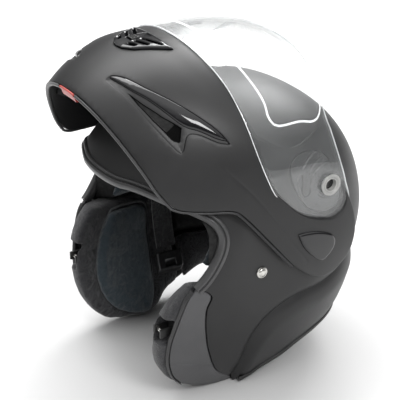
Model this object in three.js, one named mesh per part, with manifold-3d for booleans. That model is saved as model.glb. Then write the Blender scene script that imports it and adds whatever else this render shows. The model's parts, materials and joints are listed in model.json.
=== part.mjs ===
// Flip-up motorcycle helmet: shell with soft lining, chin bar on two side hinges, clear visor.
// Millimetres, +Z up, front of the helmet towards -Y, wearer's left towards +X.
// The origin is on the floor plane under the middle of the helmet's box.
// The chin bar is drawn closed and then raised about its hinge by nested groups.
import * as THREE from 'three';
import { mergeVertices } from 'three/addons/utils/BufferGeometryUtils.js';
import Module from 'manifold-3d';

const wasm = await Module();
wasm.setup();

// ---- Driving dimensions ----------------------------------------------------------------------
const FORM_CENTRE = new THREE.Vector3(0, 5, 154);
const HALF_WIDTH = 122;
const ROUNDNESS = 2.25;
const RIM_TAPER = 0.06;
const SIDE_OUTLINE = [ // [degrees from straight ahead towards up, radius from the centre]
  [0, 155], [25, 136], [60, 122], [90, 117], [120, 120], [150, 127], [180, 131], [210, 136],
  [235, 158], [270, 190], [305, 222], [322, 214], [338, 195], [348, 175],
];
const FORM_DETAIL = 6;
const GAP = 0.35;
const ROUND_STEPS = 5;
const REACH = 260;
const FAR = 240; // outlines run out to here where they only have to pass the form
const MIDDLE_SHIFT = 8.9; // brings the middle of the raised helmet's box over the origin

// Layers are [inner, outer] offsets from the form, with the flat limit of |x| for each face.
const SHELL = { inner: -4, outer: 0, flatInner: 113, flatOuter: 117 };
const FOAM = { inner: -26, outer: -4.5, flatInner: 91, flatOuter: 112.5 };
const CLOTH = { inner: -34, outer: -26.5, flatInner: 83, flatOuter: 90.5 };
const CHIN = { inner: 3.8, outer: 7.6, flatInner: 120.6, flatOuter: 140 };
const POCKET = { outer: 5.4, flatOuter: 122.6 };
const VISOR = { inner: 7.2, outer: 9.2, flatInner: 124.3, flatOuter: 126.3 };
const FLARE = 6;

const HINGE = [-30, 142];
const HINGE_PIN_RADIUS = 6;
const VISOR_PIVOT = [22, 175];
const VISOR_HUB_RADIUS = 8;
const RAISED = THREE.MathUtils.degToRad(68);
const STRIKER = [108, 78];
const STRIKER_X = 83;
const STRIKER_RADIUS = 2;
const STRIKER_HALF = 4;
const FORK = { play: 0.8, arm: 4, reach: 8, mouth: 7 };
const RIVET = { at: [24, 129], shank: 2.6, head: 5.5, rise: 1.6 };
const STRAP = { from: 2, to: 24, top: 126, bottom: 68, thickness: 2, fold: 125 };
const SOCKET_LENGTH = 26;
const TONGUE_LENGTH = 18;
const HINGE_BASE = { radius: 17, thickness: 1.6 };
const HINGE_PIN_END = 126.4;
const PORT_TRIM = { over: 4, into: 6, behind: 2.5, proud: 1.8 };
const EDGING_WIDTH = 3;
const RIM_TRIM = { inner: -7, outer: 2, width: 4 };
const CHIN_TRIM = { width: 2.8, behind: 0.4, proud: 0.5 };
const PORT_SEAL_WIDTH = 3.5;
const LATCH_LEVER = { half: 13, width: 6, inner: -3 };
const CHIN_PAD_INNER = -11;
const CAP = { gap: GAP, thickness: 1.85 };
const VENT = { floor: 5.6, inner: 5.95, slotFloor: 8, railFloor: 8.6, outer: 10.4, margin: 0.6 };
const VENT_KNOB = { inner: 8.95, outer: 12 };
const BLADE = { floor: 5.4, inner: 5.8, outer: 8.8, gap: 0.4 };
const QUICK_LEVER = { pivot: [28, 152], tip: [43, 157], root: 4, end: 3, swing: 14, play: 0.5 };
const VISOR_HUB = { lip: 2.2, wall: 3, proud: 1.4, play: 0.5 };

// Side-view outlines, [forward, height], with the chin bar closed.
const PORT_EDGE = [
  [123, 205], [116, 206], [110, 205.5], [103, 203], [95, 199.5], [87, 196], [78, 192], [69, 186],
  [63, 178], [61, 168], [64, 156], [71, 143], [79, 132], [86, 125],
];
const JAW_EDGE = [[86, 125], [94, 113], [101, 90], [105, 68], [104, 46], [97, 27], [86, 14]];
const JAW_SPLIT = [[83, 125], [73, 116], [77, 102], [76, 80], [70, 54], [56, 25], [36, 8], [29, 0]];
const RIM_EDGE = [[27, 6], [18, 10], [9, 17], [-12, 25], [-30, 35], [-60, 42], [-122, 46]];
const PORT_TOP = 205;
const FLARE_CREASE = [
  [-140, 108], [-95, 104], [-47, 97], [-19, 96], [3, 89], [20, 76], [31, 53], [34, 20],
];
const CHIN_LOWER = [
  [118, 34], [101, 35], [86, 38], [77, 43], [65, 63], [54, 83], [42, 90], [9, 101], [-30, 114],
  [-56, 128],
];
const CHIN_LOBE = [[-56, 128], [-68, 142], [-69, 156], [-60, 173], [-42, 184], [-20, 189], [12, 189]];
const CHIN_TOP = [[12, 189], [38, 193], [60, 198], [76, 204]];
const CHIN_PORT = [
  [76, 204], [70, 190], [69, 173], [72, 157], [80, 147], [89, 140], [98, 135], [107, 133], [200, 139],
];
const VISOR_LOWER = [
  [200, 136], [150, 135], [130, 132], [107, 127], [87, 123], [65, 121], [46, 122], [25, 129], [8, 139],
  [-4, 151],
];
const VISOR_END = [[-4, 151], [-12, 162], [-14, 172], [-10, 182], [-1, 189], [14, 191]];
const VISOR_TOP = [[14, 191], [38, 195], [60, 200], [78, 206], [112, 230]];
const CAP_OUTLINE = [
  [-1, 127], [-4, 135], [-11, 147], [-22, 158], [-31, 160], [-39, 155], [-44, 142], [-33, 134],
  [-17, 128], [-1, 127],
];
const MECHANISM_OUTLINE = [
  [-5, 174], [-1, 160], [10, 149], [28, 144], [48, 143], [60, 148], [63, 160], [58, 174], [46, 184],
  [24, 184], [4, 182], [-5, 174],
];

// Side-view outlines of the lining and cushions.
const CROWN_OUTLINE = [
  [52, 171], [-36, 171], [-36, 96], [-FAR, 96], [-FAR, 320], [60, 320], [57, 226], [50, 206],
];
const BROW_OUTLINE = [
  [52, 188], [58, 192], [66, 198], [76, 203], [88, 206], [120, 207], [120, 300], [61, 300], [58, 226],
  [52, 208],
];
const TEMPLE_OUTLINE = [[55, 167], [58, 150], [66, 132], [52, 129], [-32, 129], [-32, 167]];
const CHEEK_FRONT = [[84, 122], [96, 106], [106, 84], [111, 64], [108, 44], [96, 26], [80, 17]];
const CHEEK_REAR = [[50, 10], [30, 12], [14, 24], [-4, 36], [-4, 122]];
const CHEEK_FACE_FRONT = [[66, 118], [79, 102], [88, 82], [92, 64], [90, 48], [82, 32], [70, 24]];
const CHEEK_FACE_REAR = [[50, 17], [33, 19], [20, 30], [2, 42], [2, 118]];
const NECK_OUTLINE = [[-8, 36], [-34, 46], [-60, 52], [-FAR, 56], [-FAR, 76], [-8, 76]];
const CHIN_PAD_OUTLINE = [[FAR, 36], [120, 44], [115, 60], [118, 96], [124, 126], [FAR, 130]];

// Front-view outlines, [across, height], with the chin bar closed.
const VENT_HALF = [[0, 121.5], [34, 121.5], [18, 93], [8, 87], [0, 86]];
const VENT_DUCT = [[-10, 96], [10, 96], [14, 104], [-14, 104]];
const VENT_RAIL = [[-6, 99], [6, 99], [6, 119.5], [-6, 119.5]];
const VENT_SLIDER = [[-5.5, 100], [5.5, 100], [5.5, 108], [-5.5, 108]];
const VENT_SLOTS = [
  [[8, 93], [14, 95.4], [14, 98.4], [8, 96]],
  [[8, 100.5], [19, 104.8], [19, 107.8], [8, 103.5]],
  [[8, 108], [24, 114.3], [24, 117.3], [8, 111]],
];
const BLADE_TOP = [
  [29, 58], [30, 62], [39, 68], [59, 76], [76, 86], [92, 97], [103, 105], [110, 108],
];
const BLADE_BOTTOM = [
  [110, 108], [106, 99], [98, 88], [93, 81], [85, 76], [65, 68], [53, 63], [34, 58],
];
const SCOOP_BOTTOM = [
  [110, 108], [106, 98], [99, 88], [96, 80], [99, 70], [96, 65], [79, 60], [53, 57], [31, 55],
];
const SCOOP_DUCT = [[78, 63], [92, 67.5], [93, 76], [80, 70]];

// ---- Colours ---------------------------------------------------------------------------------
const FINISHES = {
  matteBlack: { color: 0x343434, roughness: 0.6, metalness: 0.1 },
  jawGrey: { color: 0x5a5a5c, roughness: 0.6, metalness: 0.1 },
  glossBlack: { color: 0x101012, roughness: 0.12, metalness: 0.0 },
  plastic: { color: 0x1d1d1e, roughness: 0.7, metalness: 0.0 },
  mechanism: { color: 0x5f5f5f, roughness: 0.45, metalness: 0.0 },
  edging: { color: 0x8a8a8a, roughness: 0.5, metalness: 0.0 },
  rubber: { color: 0x1a1a1a, roughness: 0.85, metalness: 0.0 },
  foam: { color: 0x161616, roughness: 0.95, metalness: 0.0 },
  mesh: { color: 0x2a2a2b, roughness: 1.0, metalness: 0.0 },
  cloth: { color: 0x28323a, roughness: 1.0, metalness: 0.0 },
  webbing: { color: 0x18181a, roughness: 0.95, metalness: 0.0 },
  steel: { color: 0xb8b8b4, roughness: 0.25, metalness: 1.0 },
  red: { color: 0xa01c1c, roughness: 0.45, metalness: 0.0 },
  clear: { color: 0xe8eef0, roughness: 0.05, metalness: 0.0, transparent: true, opacity: 0.3 },
};

// ---- The form: one smooth star-shaped surface that every layer follows --------------------------
function outlineRadius(angle) {
  const count = SIDE_OUTLINE.length;
  const knot = (i) => SIDE_OUTLINE[((i % count) + count) % count][0] + 360 * Math.floor(i / count);
  const value = (i) => SIDE_OUTLINE[((i % count) + count) % count][1];
  const slope = (i) => (value(i + 1) - value(i - 1)) / (knot(i + 1) - knot(i - 1));
  let i = count - 1;
  while (knot(i) > angle) {
    i -= 1;
  }
  const span = knot(i + 1) - knot(i);
  const t = (angle - knot(i)) / span;
  const t2 = t * t;
  const t3 = t2 * t;
  return (2 * t3 - 3 * t2 + 1) * value(i) + (t3 - 2 * t2 + t) * span * slope(i)
    + (3 * t2 - 2 * t3) * value(i + 1) + (t3 - t2) * span * slope(i + 1);
}

function widthAt(z) {
  const low = THREE.MathUtils.clamp((FORM_CENTRE.z - z) / FORM_CENTRE.z, 0, 1.3);
  return HALF_WIDTH * (1 - RIM_TAPER * low * low);
}

// Below 1 inside the form, 1 on it and above 1 outside.
function formValue(point) {
  const forward = FORM_CENTRE.y - point.y;
  const up = point.z - FORM_CENTRE.z;
  const angle = THREE.MathUtils.euclideanModulo(THREE.MathUtils.radToDeg(Math.atan2(up, forward)), 360);
  const side = Math.abs(point.x) / widthAt(point.z);
  const round = Math.hypot(forward, up) / outlineRadius(angle);
  return side ** ROUNDNESS + round ** ROUNDNESS;
}

function formNormal(point) {
  const normal = new THREE.Vector3();
  for (const axis of ['x', 'y', 'z']) {
    const ahead = point.clone();
    const behind = point.clone();
    ahead[axis] += 0.5;
    behind[axis] -= 0.5;
    normal[axis] = formValue(ahead) - formValue(behind);
  }
  return normal.normalize();
}

// The point where the layer at this offset meets a ray from the centre; flat limits |x|.
function layerPoint(direction, offset, flat) {
  const ray = direction.clone().normalize();
  let near = 40;
  let far = 320;
  for (let step = 0; step < 26; step += 1) {
    const middle = (near + far) / 2;
    const point = FORM_CENTRE.clone().addScaledVector(ray, middle);
    if (formValue(point) > 1) {
      far = middle;
    } else {
      near = middle;
    }
  }
  const surface = FORM_CENTRE.clone().addScaledVector(ray, near);
  const slant = Math.max(formNormal(surface).dot(ray), 0.6);
  const distance = Math.min(near + offset / slant, flat / Math.max(Math.abs(ray.x), 1e-6));
  return FORM_CENTRE.clone().addScaledVector(ray, distance);
}

// ---- Solids ----------------------------------------------------------------------------------
function toSolid(geometry) {
  geometry.deleteAttribute('normal');
  geometry.deleteAttribute('uv');
  const merged = mergeVertices(geometry, 1e-4);
  return new wasm.Manifold(new wasm.Mesh({
    numProp: 3,
    vertProperties: new Float32Array(merged.attributes.position.array),
    triVerts: new Uint32Array(merged.index.array),
  }));
}

function toGeometry(solid) {
  const mesh = solid.getMesh();
  const geometry = new THREE.BufferGeometry();
  geometry.setAttribute('position', new THREE.BufferAttribute(mesh.vertProperties, 3));
  geometry.setIndex(new THREE.BufferAttribute(mesh.triVerts, 1));
  geometry.computeVertexNormals();
  return geometry;
}

const ballCache = new Map();
function ball(offset, flat) {
  const key = `${offset},${flat}`;
  if (!ballCache.has(key)) {
    const geometry = new THREE.IcosahedronGeometry(1, FORM_DETAIL);
    const position = geometry.attributes.position;
    for (let i = 0; i < position.count; i += 1) {
      const direction = new THREE.Vector3().fromBufferAttribute(position, i);
      const point = layerPoint(direction, offset, flat);
      position.setXYZ(i, point.x, point.y, point.z);
    }
    ballCache.set(key, toSolid(geometry));
  }
  return ballCache.get(key);
}

function layer(inner, outer, flatInner, flatOuter) {
  return ball(outer, flatOuter).subtract(ball(inner, flatInner));
}

// A prism across the helmet with a side-view outline, between two values of x.
function sidePrism(points, from = -REACH, to = REACH) {
  const outline = new THREE.Shape(points.map(([forward, height]) => new THREE.Vector2(forward, height)));
  const geometry = new THREE.ExtrudeGeometry(outline, { depth: to - from, bevelEnabled: false });
  geometry.applyMatrix4(new THREE.Matrix4().makeBasis(
    new THREE.Vector3(0, -1, 0), new THREE.Vector3(0, 0, 1), new THREE.Vector3(-1, 0, 0)));
  geometry.translate(to, 0, 0);
  return toSolid(geometry);
}

// A prism along Y with a front-view outline, ahead of the wearer's face.
function frontPrism(points) {
  const outline = new THREE.Shape(points.map(([across, height]) => new THREE.Vector2(across, height)));
  const geometry = new THREE.ExtrudeGeometry(outline, { depth: REACH, bevelEnabled: false });
  geometry.rotateX(Math.PI / 2);
  geometry.translate(0, -60, 0);
  return toSolid(geometry);
}

function halfPrism(points, side) {
  return side > 0 ? sidePrism(points, 0, REACH) : sidePrism(points, -REACH, 0);
}

function smooth(points, count) {
  const curve = new THREE.SplineCurve(points.map(([u, v]) => new THREE.Vector2(u, v)));
  return curve.getSpacedPoints(count).map((point) => [point.x, point.y]);
}

// Moves an open curve sideways; positive is to the right when walking along it.
function shifted(points, amount) {
  return points.map(([u, v], i) => {
    const [u0, v0] = points[Math.max(i - 1, 0)];
    const [u1, v1] = points[Math.min(i + 1, points.length - 1)];
    const length = Math.hypot(u1 - u0, v1 - v0);
    return [u + (amount * (v1 - v0)) / length, v - (amount * (u1 - u0)) / length];
  });
}

// A closed band along an open curve, from one sideways shift to another.
function band(points, left, right) {
  return [...shifted(points, left), ...shifted(points, right).reverse()];
}

function box(sizeX, sizeY, sizeZ, centre) {
  const geometry = new THREE.BoxGeometry(sizeX, sizeY, sizeZ);
  geometry.translate(centre.x, centre.y, centre.z);
  return toSolid(geometry);
}

// A cylinder along X, from one |x| to another on one side.
function sideDisc([forward, height], radius, from, to, side, segments = 24) {
  const geometry = new THREE.CylinderGeometry(radius, radius, to - from, segments);
  geometry.rotateZ(Math.PI / 2);
  geometry.translate(side * (from + to) / 2, -forward, height);
  return toSolid(geometry);
}

// ---- Outlines shared by several pieces ----------------------------------------------------------
const portEdge = smooth(PORT_EDGE, 18);
const jawEdge = smooth(JAW_EDGE, 8);
const jawSplit = smooth(JAW_SPLIT, 9);
const rimEdge = smooth(RIM_EDGE, 9);
const chinLower = smooth(CHIN_LOWER, 13);
const chinPort = [...smooth(CHIN_PORT.slice(0, 8), 10), CHIN_PORT[8]];
const chinLobe = smooth(CHIN_LOBE, 9);
const visorLower = smooth(VISOR_LOWER, 13);
const visorEnd = smooth(VISOR_END, 7);
const visorTop = smooth(VISOR_TOP, 6);

const shellOutline = [
  [FAR, PORT_TOP], ...portEdge, ...jawEdge.slice(1), [66, 5], [47, 0], ...rimEdge, [-FAR, 50], [-FAR, 320],
  [FAR, 320],
];
const jawOutline = [...jawEdge, [66, 5], [47, 0], ...jawSplit.slice().reverse()];
const chinOutline = [
  [FAR, 25], ...chinLower, ...chinLobe.slice(1), ...CHIN_TOP.slice(1, 3), ...chinPort, [FAR, 140],
];
const visorOutline = [...visorLower, ...visorEnd.slice(1), ...visorTop.slice(1), [FAR, 232], [FAR, 136]];
const pocketOutline = [
  [FAR, 133], ...shifted(visorLower, -2.5), ...shifted(visorEnd, -3.5).slice(1), [14, 240], [FAR, 240],
];
const ventOutline = [...VENT_HALF, ...VENT_HALF.slice(1, -1).map(([u, v]) => [-u, v]).reverse()];
const bladeTop = smooth(BLADE_TOP, 8);
const scoopOutline = [...bladeTop, ...smooth(SCOOP_BOTTOM, 12).slice(1)];
const bladeOutline = [...bladeTop.slice(0, -1), ...smooth(BLADE_BOTTOM, 8).slice(1)];

function mirrored(points, side) {
  return side > 0 ? points : points.map(([u, v]) => [-u, v]).reverse();
}

// Grows a closed outline outwards, or shrinks it when the amount is negative.
function growBy(points, amount) {
  const closed = [points[points.length - 1], ...points, points[0]];
  const clockwise = THREE.ShapeUtils.isClockWise(points.map(([u, v]) => new THREE.Vector2(u, v)));
  return shifted(closed, clockwise ? -amount : amount).slice(1, -1);
}

// ---- Shell body --------------------------------------------------------------------------------
function outerShell() {
  let shell = layer(SHELL.inner, SHELL.outer, SHELL.flatInner, SHELL.flatOuter);
  const crease = smooth(FLARE_CREASE, 10);
  const flare = layer(SHELL.inner + 1, FLARE, SHELL.flatInner + 1, REACH)
    .intersect(sidePrism([...crease, [28, -20], [-FAR, -20], [-FAR, 108]]));
  shell = shell.add(flare).intersect(sidePrism(shellOutline));
  for (const side of [1, -1]) {
    const jaw = [[120, 125], ...shifted(jawSplit, GAP), [28, -20], [120, -20]];
    shell = shell.subtract(halfPrism(jaw, side));
    shell = shell.subtract(sideDisc(RIVET.at, RIVET.shank + GAP, 100, 130, side));
  }
  return shell;
}

function strapRivet(side) {
  const top = SHELL.flatOuter + RIVET.rise;
  const head = sideDisc(RIVET.at, RIVET.head, SHELL.flatOuter + GAP, top, side);
  const shank = sideDisc(RIVET.at, RIVET.shank, SHELL.flatInner + GAP, top - GAP, side);
  return head.add(shank);
}

function jawPlate(side) {
  return layer(SHELL.inner, SHELL.outer - 0.6, SHELL.flatInner, SHELL.flatOuter)
    .intersect(halfPrism(jawOutline, side));
}

function portTrim() {
  const { over, into, behind, proud } = PORT_TRIM;
  const around = [
    [FAR, PORT_TOP - over], ...shifted(portEdge, -over), ...shifted(portEdge, into).reverse(),
    [FAR, PORT_TOP + into],
  ];
  const kept = [
    [FAR, PORT_TOP - GAP], ...shifted(portEdge, -GAP), [80, 110], [-FAR, 110], [-FAR, 320], [FAR, 320],
  ];
  const { inner, outer, flatInner, flatOuter } = SHELL;
  const slot = layer(inner - GAP, outer + GAP, flatInner - GAP, flatOuter + GAP)
    .intersect(sidePrism(kept));
  return layer(inner - behind, outer + proud, flatInner - behind, flatOuter + proud)
    .intersect(sidePrism(around))
    .subtract(slot);
}

function jawEdging(side) {
  const edge = jawEdge.slice(1);
  const outline = [...shifted(edge, -GAP), ...shifted(edge, -EDGING_WIDTH).reverse()];
  return layer(SHELL.inner - 1, SHELL.outer - 0.4, SHELL.flatInner, SHELL.flatOuter)
    .intersect(halfPrism(outline, side));
}

function rimTrim() {
  const { inner, outer, width } = RIM_TRIM;
  const outline = [
    ...shifted(rimEdge, -GAP), [-FAR, 50 - GAP], [-FAR, 50 - width],
    ...shifted(rimEdge, -width).reverse(),
  ];
  return layer(inner, outer, SHELL.flatInner, REACH).intersect(sidePrism(outline));
}

function foamLiner() {
  const edge = shifted(portEdge, PORT_TRIM.into + 2).filter(([, height]) => height > 145);
  const outline = [
    [FAR, PORT_TOP + PORT_TRIM.into + 2], ...edge, [62, 140], [60, 127], [-8, 127], [-8, 78],
    [-FAR, 78], [-FAR, 320], [FAR, 320],
  ];
  return layer(FOAM.inner, FOAM.outer, FOAM.flatInner, FOAM.flatOuter).intersect(sidePrism(outline));
}

function clothLayer(thicker = 0) {
  return layer(CLOTH.inner - thicker, CLOTH.outer, CLOTH.flatInner, CLOTH.flatOuter);
}

function crownLiner() {
  return clothLayer().intersect(sidePrism(CROWN_OUTLINE));
}

function browPad() {
  return clothLayer().intersect(sidePrism(BROW_OUTLINE));
}

function templePad(side) {
  return clothLayer().intersect(halfPrism(TEMPLE_OUTLINE, side));
}

// The space round the striker bracket that the cheek cushions leave free.
function strikerNotch(side) {
  return box(28, 42, 22, new THREE.Vector3(side * (STRIKER_X + 6), -STRIKER[0], STRIKER[1]));
}

function cheekPad(side) {
  return layer(FOAM.inner, FOAM.outer - 2.5, FOAM.flatInner, FOAM.flatOuter)
    .intersect(halfPrism([...smooth(CHEEK_FRONT, 8), ...CHEEK_REAR], side))
    .subtract(strikerNotch(side));
}

function cheekFace(side) {
  return clothLayer(3)
    .intersect(halfPrism([...smooth(CHEEK_FACE_FRONT, 8), ...CHEEK_FACE_REAR], side))
    .subtract(strikerNotch(side));
}

function neckRoll() {
  return layer(FOAM.inner - 1, FOAM.outer, FOAM.flatInner, FOAM.flatOuter)
    .intersect(sidePrism(NECK_OUTLINE));
}

function upright(from, to, bottom, top) {
  return [[from, bottom], [to, bottom], [to, top], [from, top]];
}

// A strap that hangs beside the cheek and turns outwards between the cushions at its top.
function chinStrap(side) {
  const { from, to, top, bottom, thickness, fold } = STRAP;
  const outer = CLOTH.inner - 3.5;
  const flatOuter = CLOTH.flatInner - 0.5;
  const tail = layer(outer - thickness, outer, flatOuter - thickness, flatOuter)
    .intersect(halfPrism(upright(from, to, bottom, top), side));
  const middle = new THREE.Vector3(side * 96.5, -(from + to) / 2, fold);
  return tail.add(box(31, to - from, thickness, middle));
}

function buckle(side, length) {
  const outline = upright(STRAP.from - 2, STRAP.to + 2, STRAP.bottom - length, STRAP.bottom - GAP);
  return layer(CLOTH.inner - 10, CLOTH.inner - 4, CLOTH.flatInner - 8, CLOTH.flatInner - 2)
    .intersect(halfPrism(outline, side));
}

function hingeBase(side) {
  const from = SHELL.flatOuter + GAP;
  return sideDisc(HINGE, HINGE_BASE.radius, from, from + HINGE_BASE.thickness, side, 32);
}

function hingePin(side) {
  const from = SHELL.flatOuter + HINGE_BASE.thickness + 2 * GAP;
  return sideDisc(HINGE, HINGE_PIN_RADIUS, from, HINGE_PIN_END, side);
}

// A bracket with two ears behind the jaw plate's front edge; the striker pin lies between the ears.
function strikerBracket(side) {
  const [forward, height] = STRIKER;
  const back = new THREE.Vector3(side * (STRIKER_X + 2.2), -(forward - 13.8), height);
  let bracket = box(17.6, 6.5, 14, back);
  for (const shift of [-5.5, 5.5]) {
    const middle = new THREE.Vector3(side * (STRIKER_X + shift), -(forward - 3.5), height);
    bracket = bracket.add(box(2.2, 15, 8, middle));
  }
  return bracket;
}

function strikerPin(side) {
  const from = STRIKER_X - STRIKER_HALF;
  return sideDisc(STRIKER, STRIKER_RADIUS, from, STRIKER_X + STRIKER_HALF, side, 16);
}

// ---- Chin bar body, drawn closed ------------------------------------------------------------------
function outside(offset, flat) {
  return layer(offset, 30, flat, REACH);
}

const mechanismOutline = smooth(MECHANISM_OUTLINE, 15).slice(1);

// Half a turn of points about a centre, starting from an angle.
function halfTurn([forward, height], radius, start) {
  const points = [];
  for (let step = 0; step <= ROUND_STEPS; step += 1) {
    const angle = start + (Math.PI * step) / ROUND_STEPS;
    points.push([forward + radius * Math.cos(angle), height + radius * Math.sin(angle)]);
  }
  return points;
}

function leverShape(turn, grow) {
  const { pivot, tip, root, end } = QUICK_LEVER;
  const along = Math.atan2(tip[1] - pivot[1], tip[0] - pivot[0]) + THREE.MathUtils.degToRad(turn);
  const length = Math.hypot(tip[0] - pivot[0], tip[1] - pivot[1]);
  const far = [pivot[0] + length * Math.cos(along), pivot[1] + length * Math.sin(along)];
  return [
    ...halfTurn(pivot, root + grow, along + Math.PI / 2),
    ...halfTurn(far, end + grow, along - Math.PI / 2),
  ];
}

function chinBar() {
  const vent = frontPrism(growBy(ventOutline, VENT.margin));
  let bar = layer(CHIN.inner, CHIN.outer, CHIN.flatInner, CHIN.flatOuter)
    .intersect(sidePrism(chinOutline));
  bar = bar.subtract(outside(POCKET.outer, POCKET.flatOuter).intersect(sidePrism(pocketOutline)));
  bar = bar.subtract(outside(VENT.floor, REACH).intersect(vent));
  bar = bar.subtract(frontPrism(VENT_DUCT));
  for (const side of [1, -1]) {
    const scoop = frontPrism(mirrored(growBy(scoopOutline, VENT.margin), side));
    bar = bar.subtract(outside(BLADE.floor, REACH).intersect(scoop));
    bar = bar.subtract(frontPrism(mirrored(SCOOP_DUCT, side)));
    bar = bar.subtract(sideDisc(HINGE, HINGE_PIN_RADIUS + GAP, 100, 150, side));
    bar = bar.subtract(halfPrism(mechanismOutline, side));
  }
  return bar;
}

function mechanismPlate(side) {
  let plate = layer(CHIN.inner, POCKET.outer, CHIN.flatInner, POCKET.flatOuter)
    .intersect(halfPrism(growBy(mechanismOutline, -GAP), side));
  for (let turn = 0; turn <= QUICK_LEVER.swing + 2; turn += 8) {
    plate = plate.subtract(halfPrism(leverShape(-turn, QUICK_LEVER.play), side));
  }
  return plate;
}

function quickLever(side) {
  const low = CHIN.flatInner + GAP;
  const high = POCKET.flatOuter - GAP;
  const shape = leverShape(0, 0);
  return side > 0 ? sidePrism(shape, low, high) : sidePrism(shape, -high, -low);
}

function visorHub(side) {
  const { lip, wall, proud } = VISOR_HUB;
  const from = POCKET.flatOuter + GAP;
  const to = VISOR.flatOuter + proud;
  const bore = sideDisc(VISOR_PIVOT, VISOR_HUB_RADIUS - wall, from - 1, to + 1, side, 20);
  return sideDisc(VISOR_PIVOT, VISOR_HUB_RADIUS, from, to, side, 20)
    .add(sideDisc(VISOR_PIVOT, VISOR_HUB_RADIUS + lip, VISOR.flatOuter + GAP, to, side, 20))
    .subtract(bore);
}

function hingeCap(side) {
  const from = CHIN.outer + CAP.gap;
  return layer(from, from + CAP.thickness, REACH, REACH)
    .intersect(halfPrism(smooth(CAP_OUTLINE, 14).slice(1), side));
}

function chinTrim(side) {
  const { width, behind, proud } = CHIN_TRIM;
  const edge = [[FAR, 25], ...chinLower.slice(0, -2)];
  const middle = new THREE.Vector3(0, -180, 25);
  return layer(CHIN.inner - behind, CHIN.outer + proud, CHIN.flatInner - behind, REACH)
    .intersect(halfPrism(band(edge, -GAP, -width), side))
    .subtract(box(2 * LATCH_LEVER.half + 2 * GAP, 80, 30, middle));
}

function latchLever() {
  const edge = [[FAR, 25], ...chinLower];
  const middle = new THREE.Vector3(0, -180, 25);
  return layer(LATCH_LEVER.inner, CHIN.outer, REACH, REACH)
    .intersect(sidePrism(band(edge, -GAP, -LATCH_LEVER.width)))
    .intersect(box(2 * LATCH_LEVER.half, 80, 40, middle));
}

function portSeal() {
  return layer(CHIN.inner - 0.8, POCKET.outer + 0.4, CHIN.flatInner - 1, POCKET.flatOuter)
    .intersect(sidePrism(band(chinPort, -GAP, -PORT_SEAL_WIDTH)));
}

function chinPad() {
  const width = 2 * (STRIKER_X - 7);
  return layer(CHIN_PAD_INNER, CHIN.inner - GAP, REACH, REACH)
    .intersect(sidePrism(CHIN_PAD_OUTLINE))
    .intersect(box(width, REACH, REACH, new THREE.Vector3(0, -180, 90)));
}

// The vent cover on the upper chin, with its slots and the rail of its slider.
function chinVent() {
  let vent = layer(VENT.inner, VENT.outer, REACH, REACH).intersect(frontPrism(ventOutline));
  for (const side of [1, -1]) {
    for (const slot of VENT_SLOTS) {
      const cut = outside(VENT.slotFloor, REACH).intersect(frontPrism(mirrored(slot, side)));
      vent = vent.subtract(cut);
    }
  }
  return vent.subtract(outside(VENT.railFloor, REACH).intersect(frontPrism(VENT_RAIL)));
}

function ventSlider() {
  return layer(VENT_KNOB.inner, VENT_KNOB.outer, REACH, REACH).intersect(frontPrism(VENT_SLIDER));
}

function ventBlade(side) {
  const outline = mirrored(growBy(bladeOutline, -BLADE.gap), side);
  return layer(BLADE.inner, BLADE.outer, REACH, REACH).intersect(frontPrism(outline));
}

// A fork inside the chin bar that slides over the striker pin as the chin bar shuts.
function latchFork(side) {
  const [forward, height] = STRIKER;
  const inner = STRIKER_RADIUS + FORK.play;
  const outer = inner + FORK.arm;
  const turn = Math.atan2(height - HINGE[1], forward - HINGE[0]);
  const local = [
    [outer, FORK.reach], [outer, -FORK.mouth], [inner, -FORK.mouth],
    ...halfTurn([0, 0], inner, 0),
    [-inner, -FORK.mouth], [-outer, -FORK.mouth], [-outer, FORK.reach],
  ];
  const outline = local.map(([u, v]) => [
    forward + u * Math.cos(turn) - v * Math.sin(turn),
    height + u * Math.sin(turn) + v * Math.cos(turn),
  ]);
  const from = side * STRIKER_X - FORK.arm / 2;
  const foot = new THREE.Vector3(side * (STRIKER_X + 4.5), -(forward + 6), height + 9.5);
  return sidePrism(outline, from, from + FORK.arm).add(box(13, 9, 8, foot));
}

// ---- Visor body, drawn closed ---------------------------------------------------------------------
function visor() {
  let shield = layer(VISOR.inner, VISOR.outer, VISOR.flatInner, VISOR.flatOuter)
    .intersect(sidePrism(visorOutline));
  for (const side of [1, -1]) {
    shield = shield.subtract(sideDisc(VISOR_PIVOT, VISOR_HUB_RADIUS + VISOR_HUB.play, 100, 140, side, 20));
  }
  return shield;
}

// ---- Assembly ----------------------------------------------------------------------------------
const helmet = new THREE.Group();
helmet.position.y = MIDDLE_SHIFT;
const chinBarTurn = new THREE.Group();
chinBarTurn.position.set(0, -HINGE[0], HINGE[1]);
chinBarTurn.rotation.x = -RAISED;
const chinBarParts = new THREE.Group();
chinBarParts.position.set(0, HINGE[0], -HINGE[1]);
const visorParts = new THREE.Group();
helmet.add(chinBarTurn);
chinBarTurn.add(chinBarParts);
chinBarParts.add(visorParts);

function place(parent, name, solid, finish) {
  const mesh = new THREE.Mesh(toGeometry(solid), new THREE.MeshStandardMaterial(FINISHES[finish]));
  mesh.name = name;
  parent.add(mesh);
}

function placePair(parent, name, make, finish) {
  place(parent, `${name}_left`, make(1), finish);
  place(parent, `${name}_right`, make(-1), finish);
}

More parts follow.
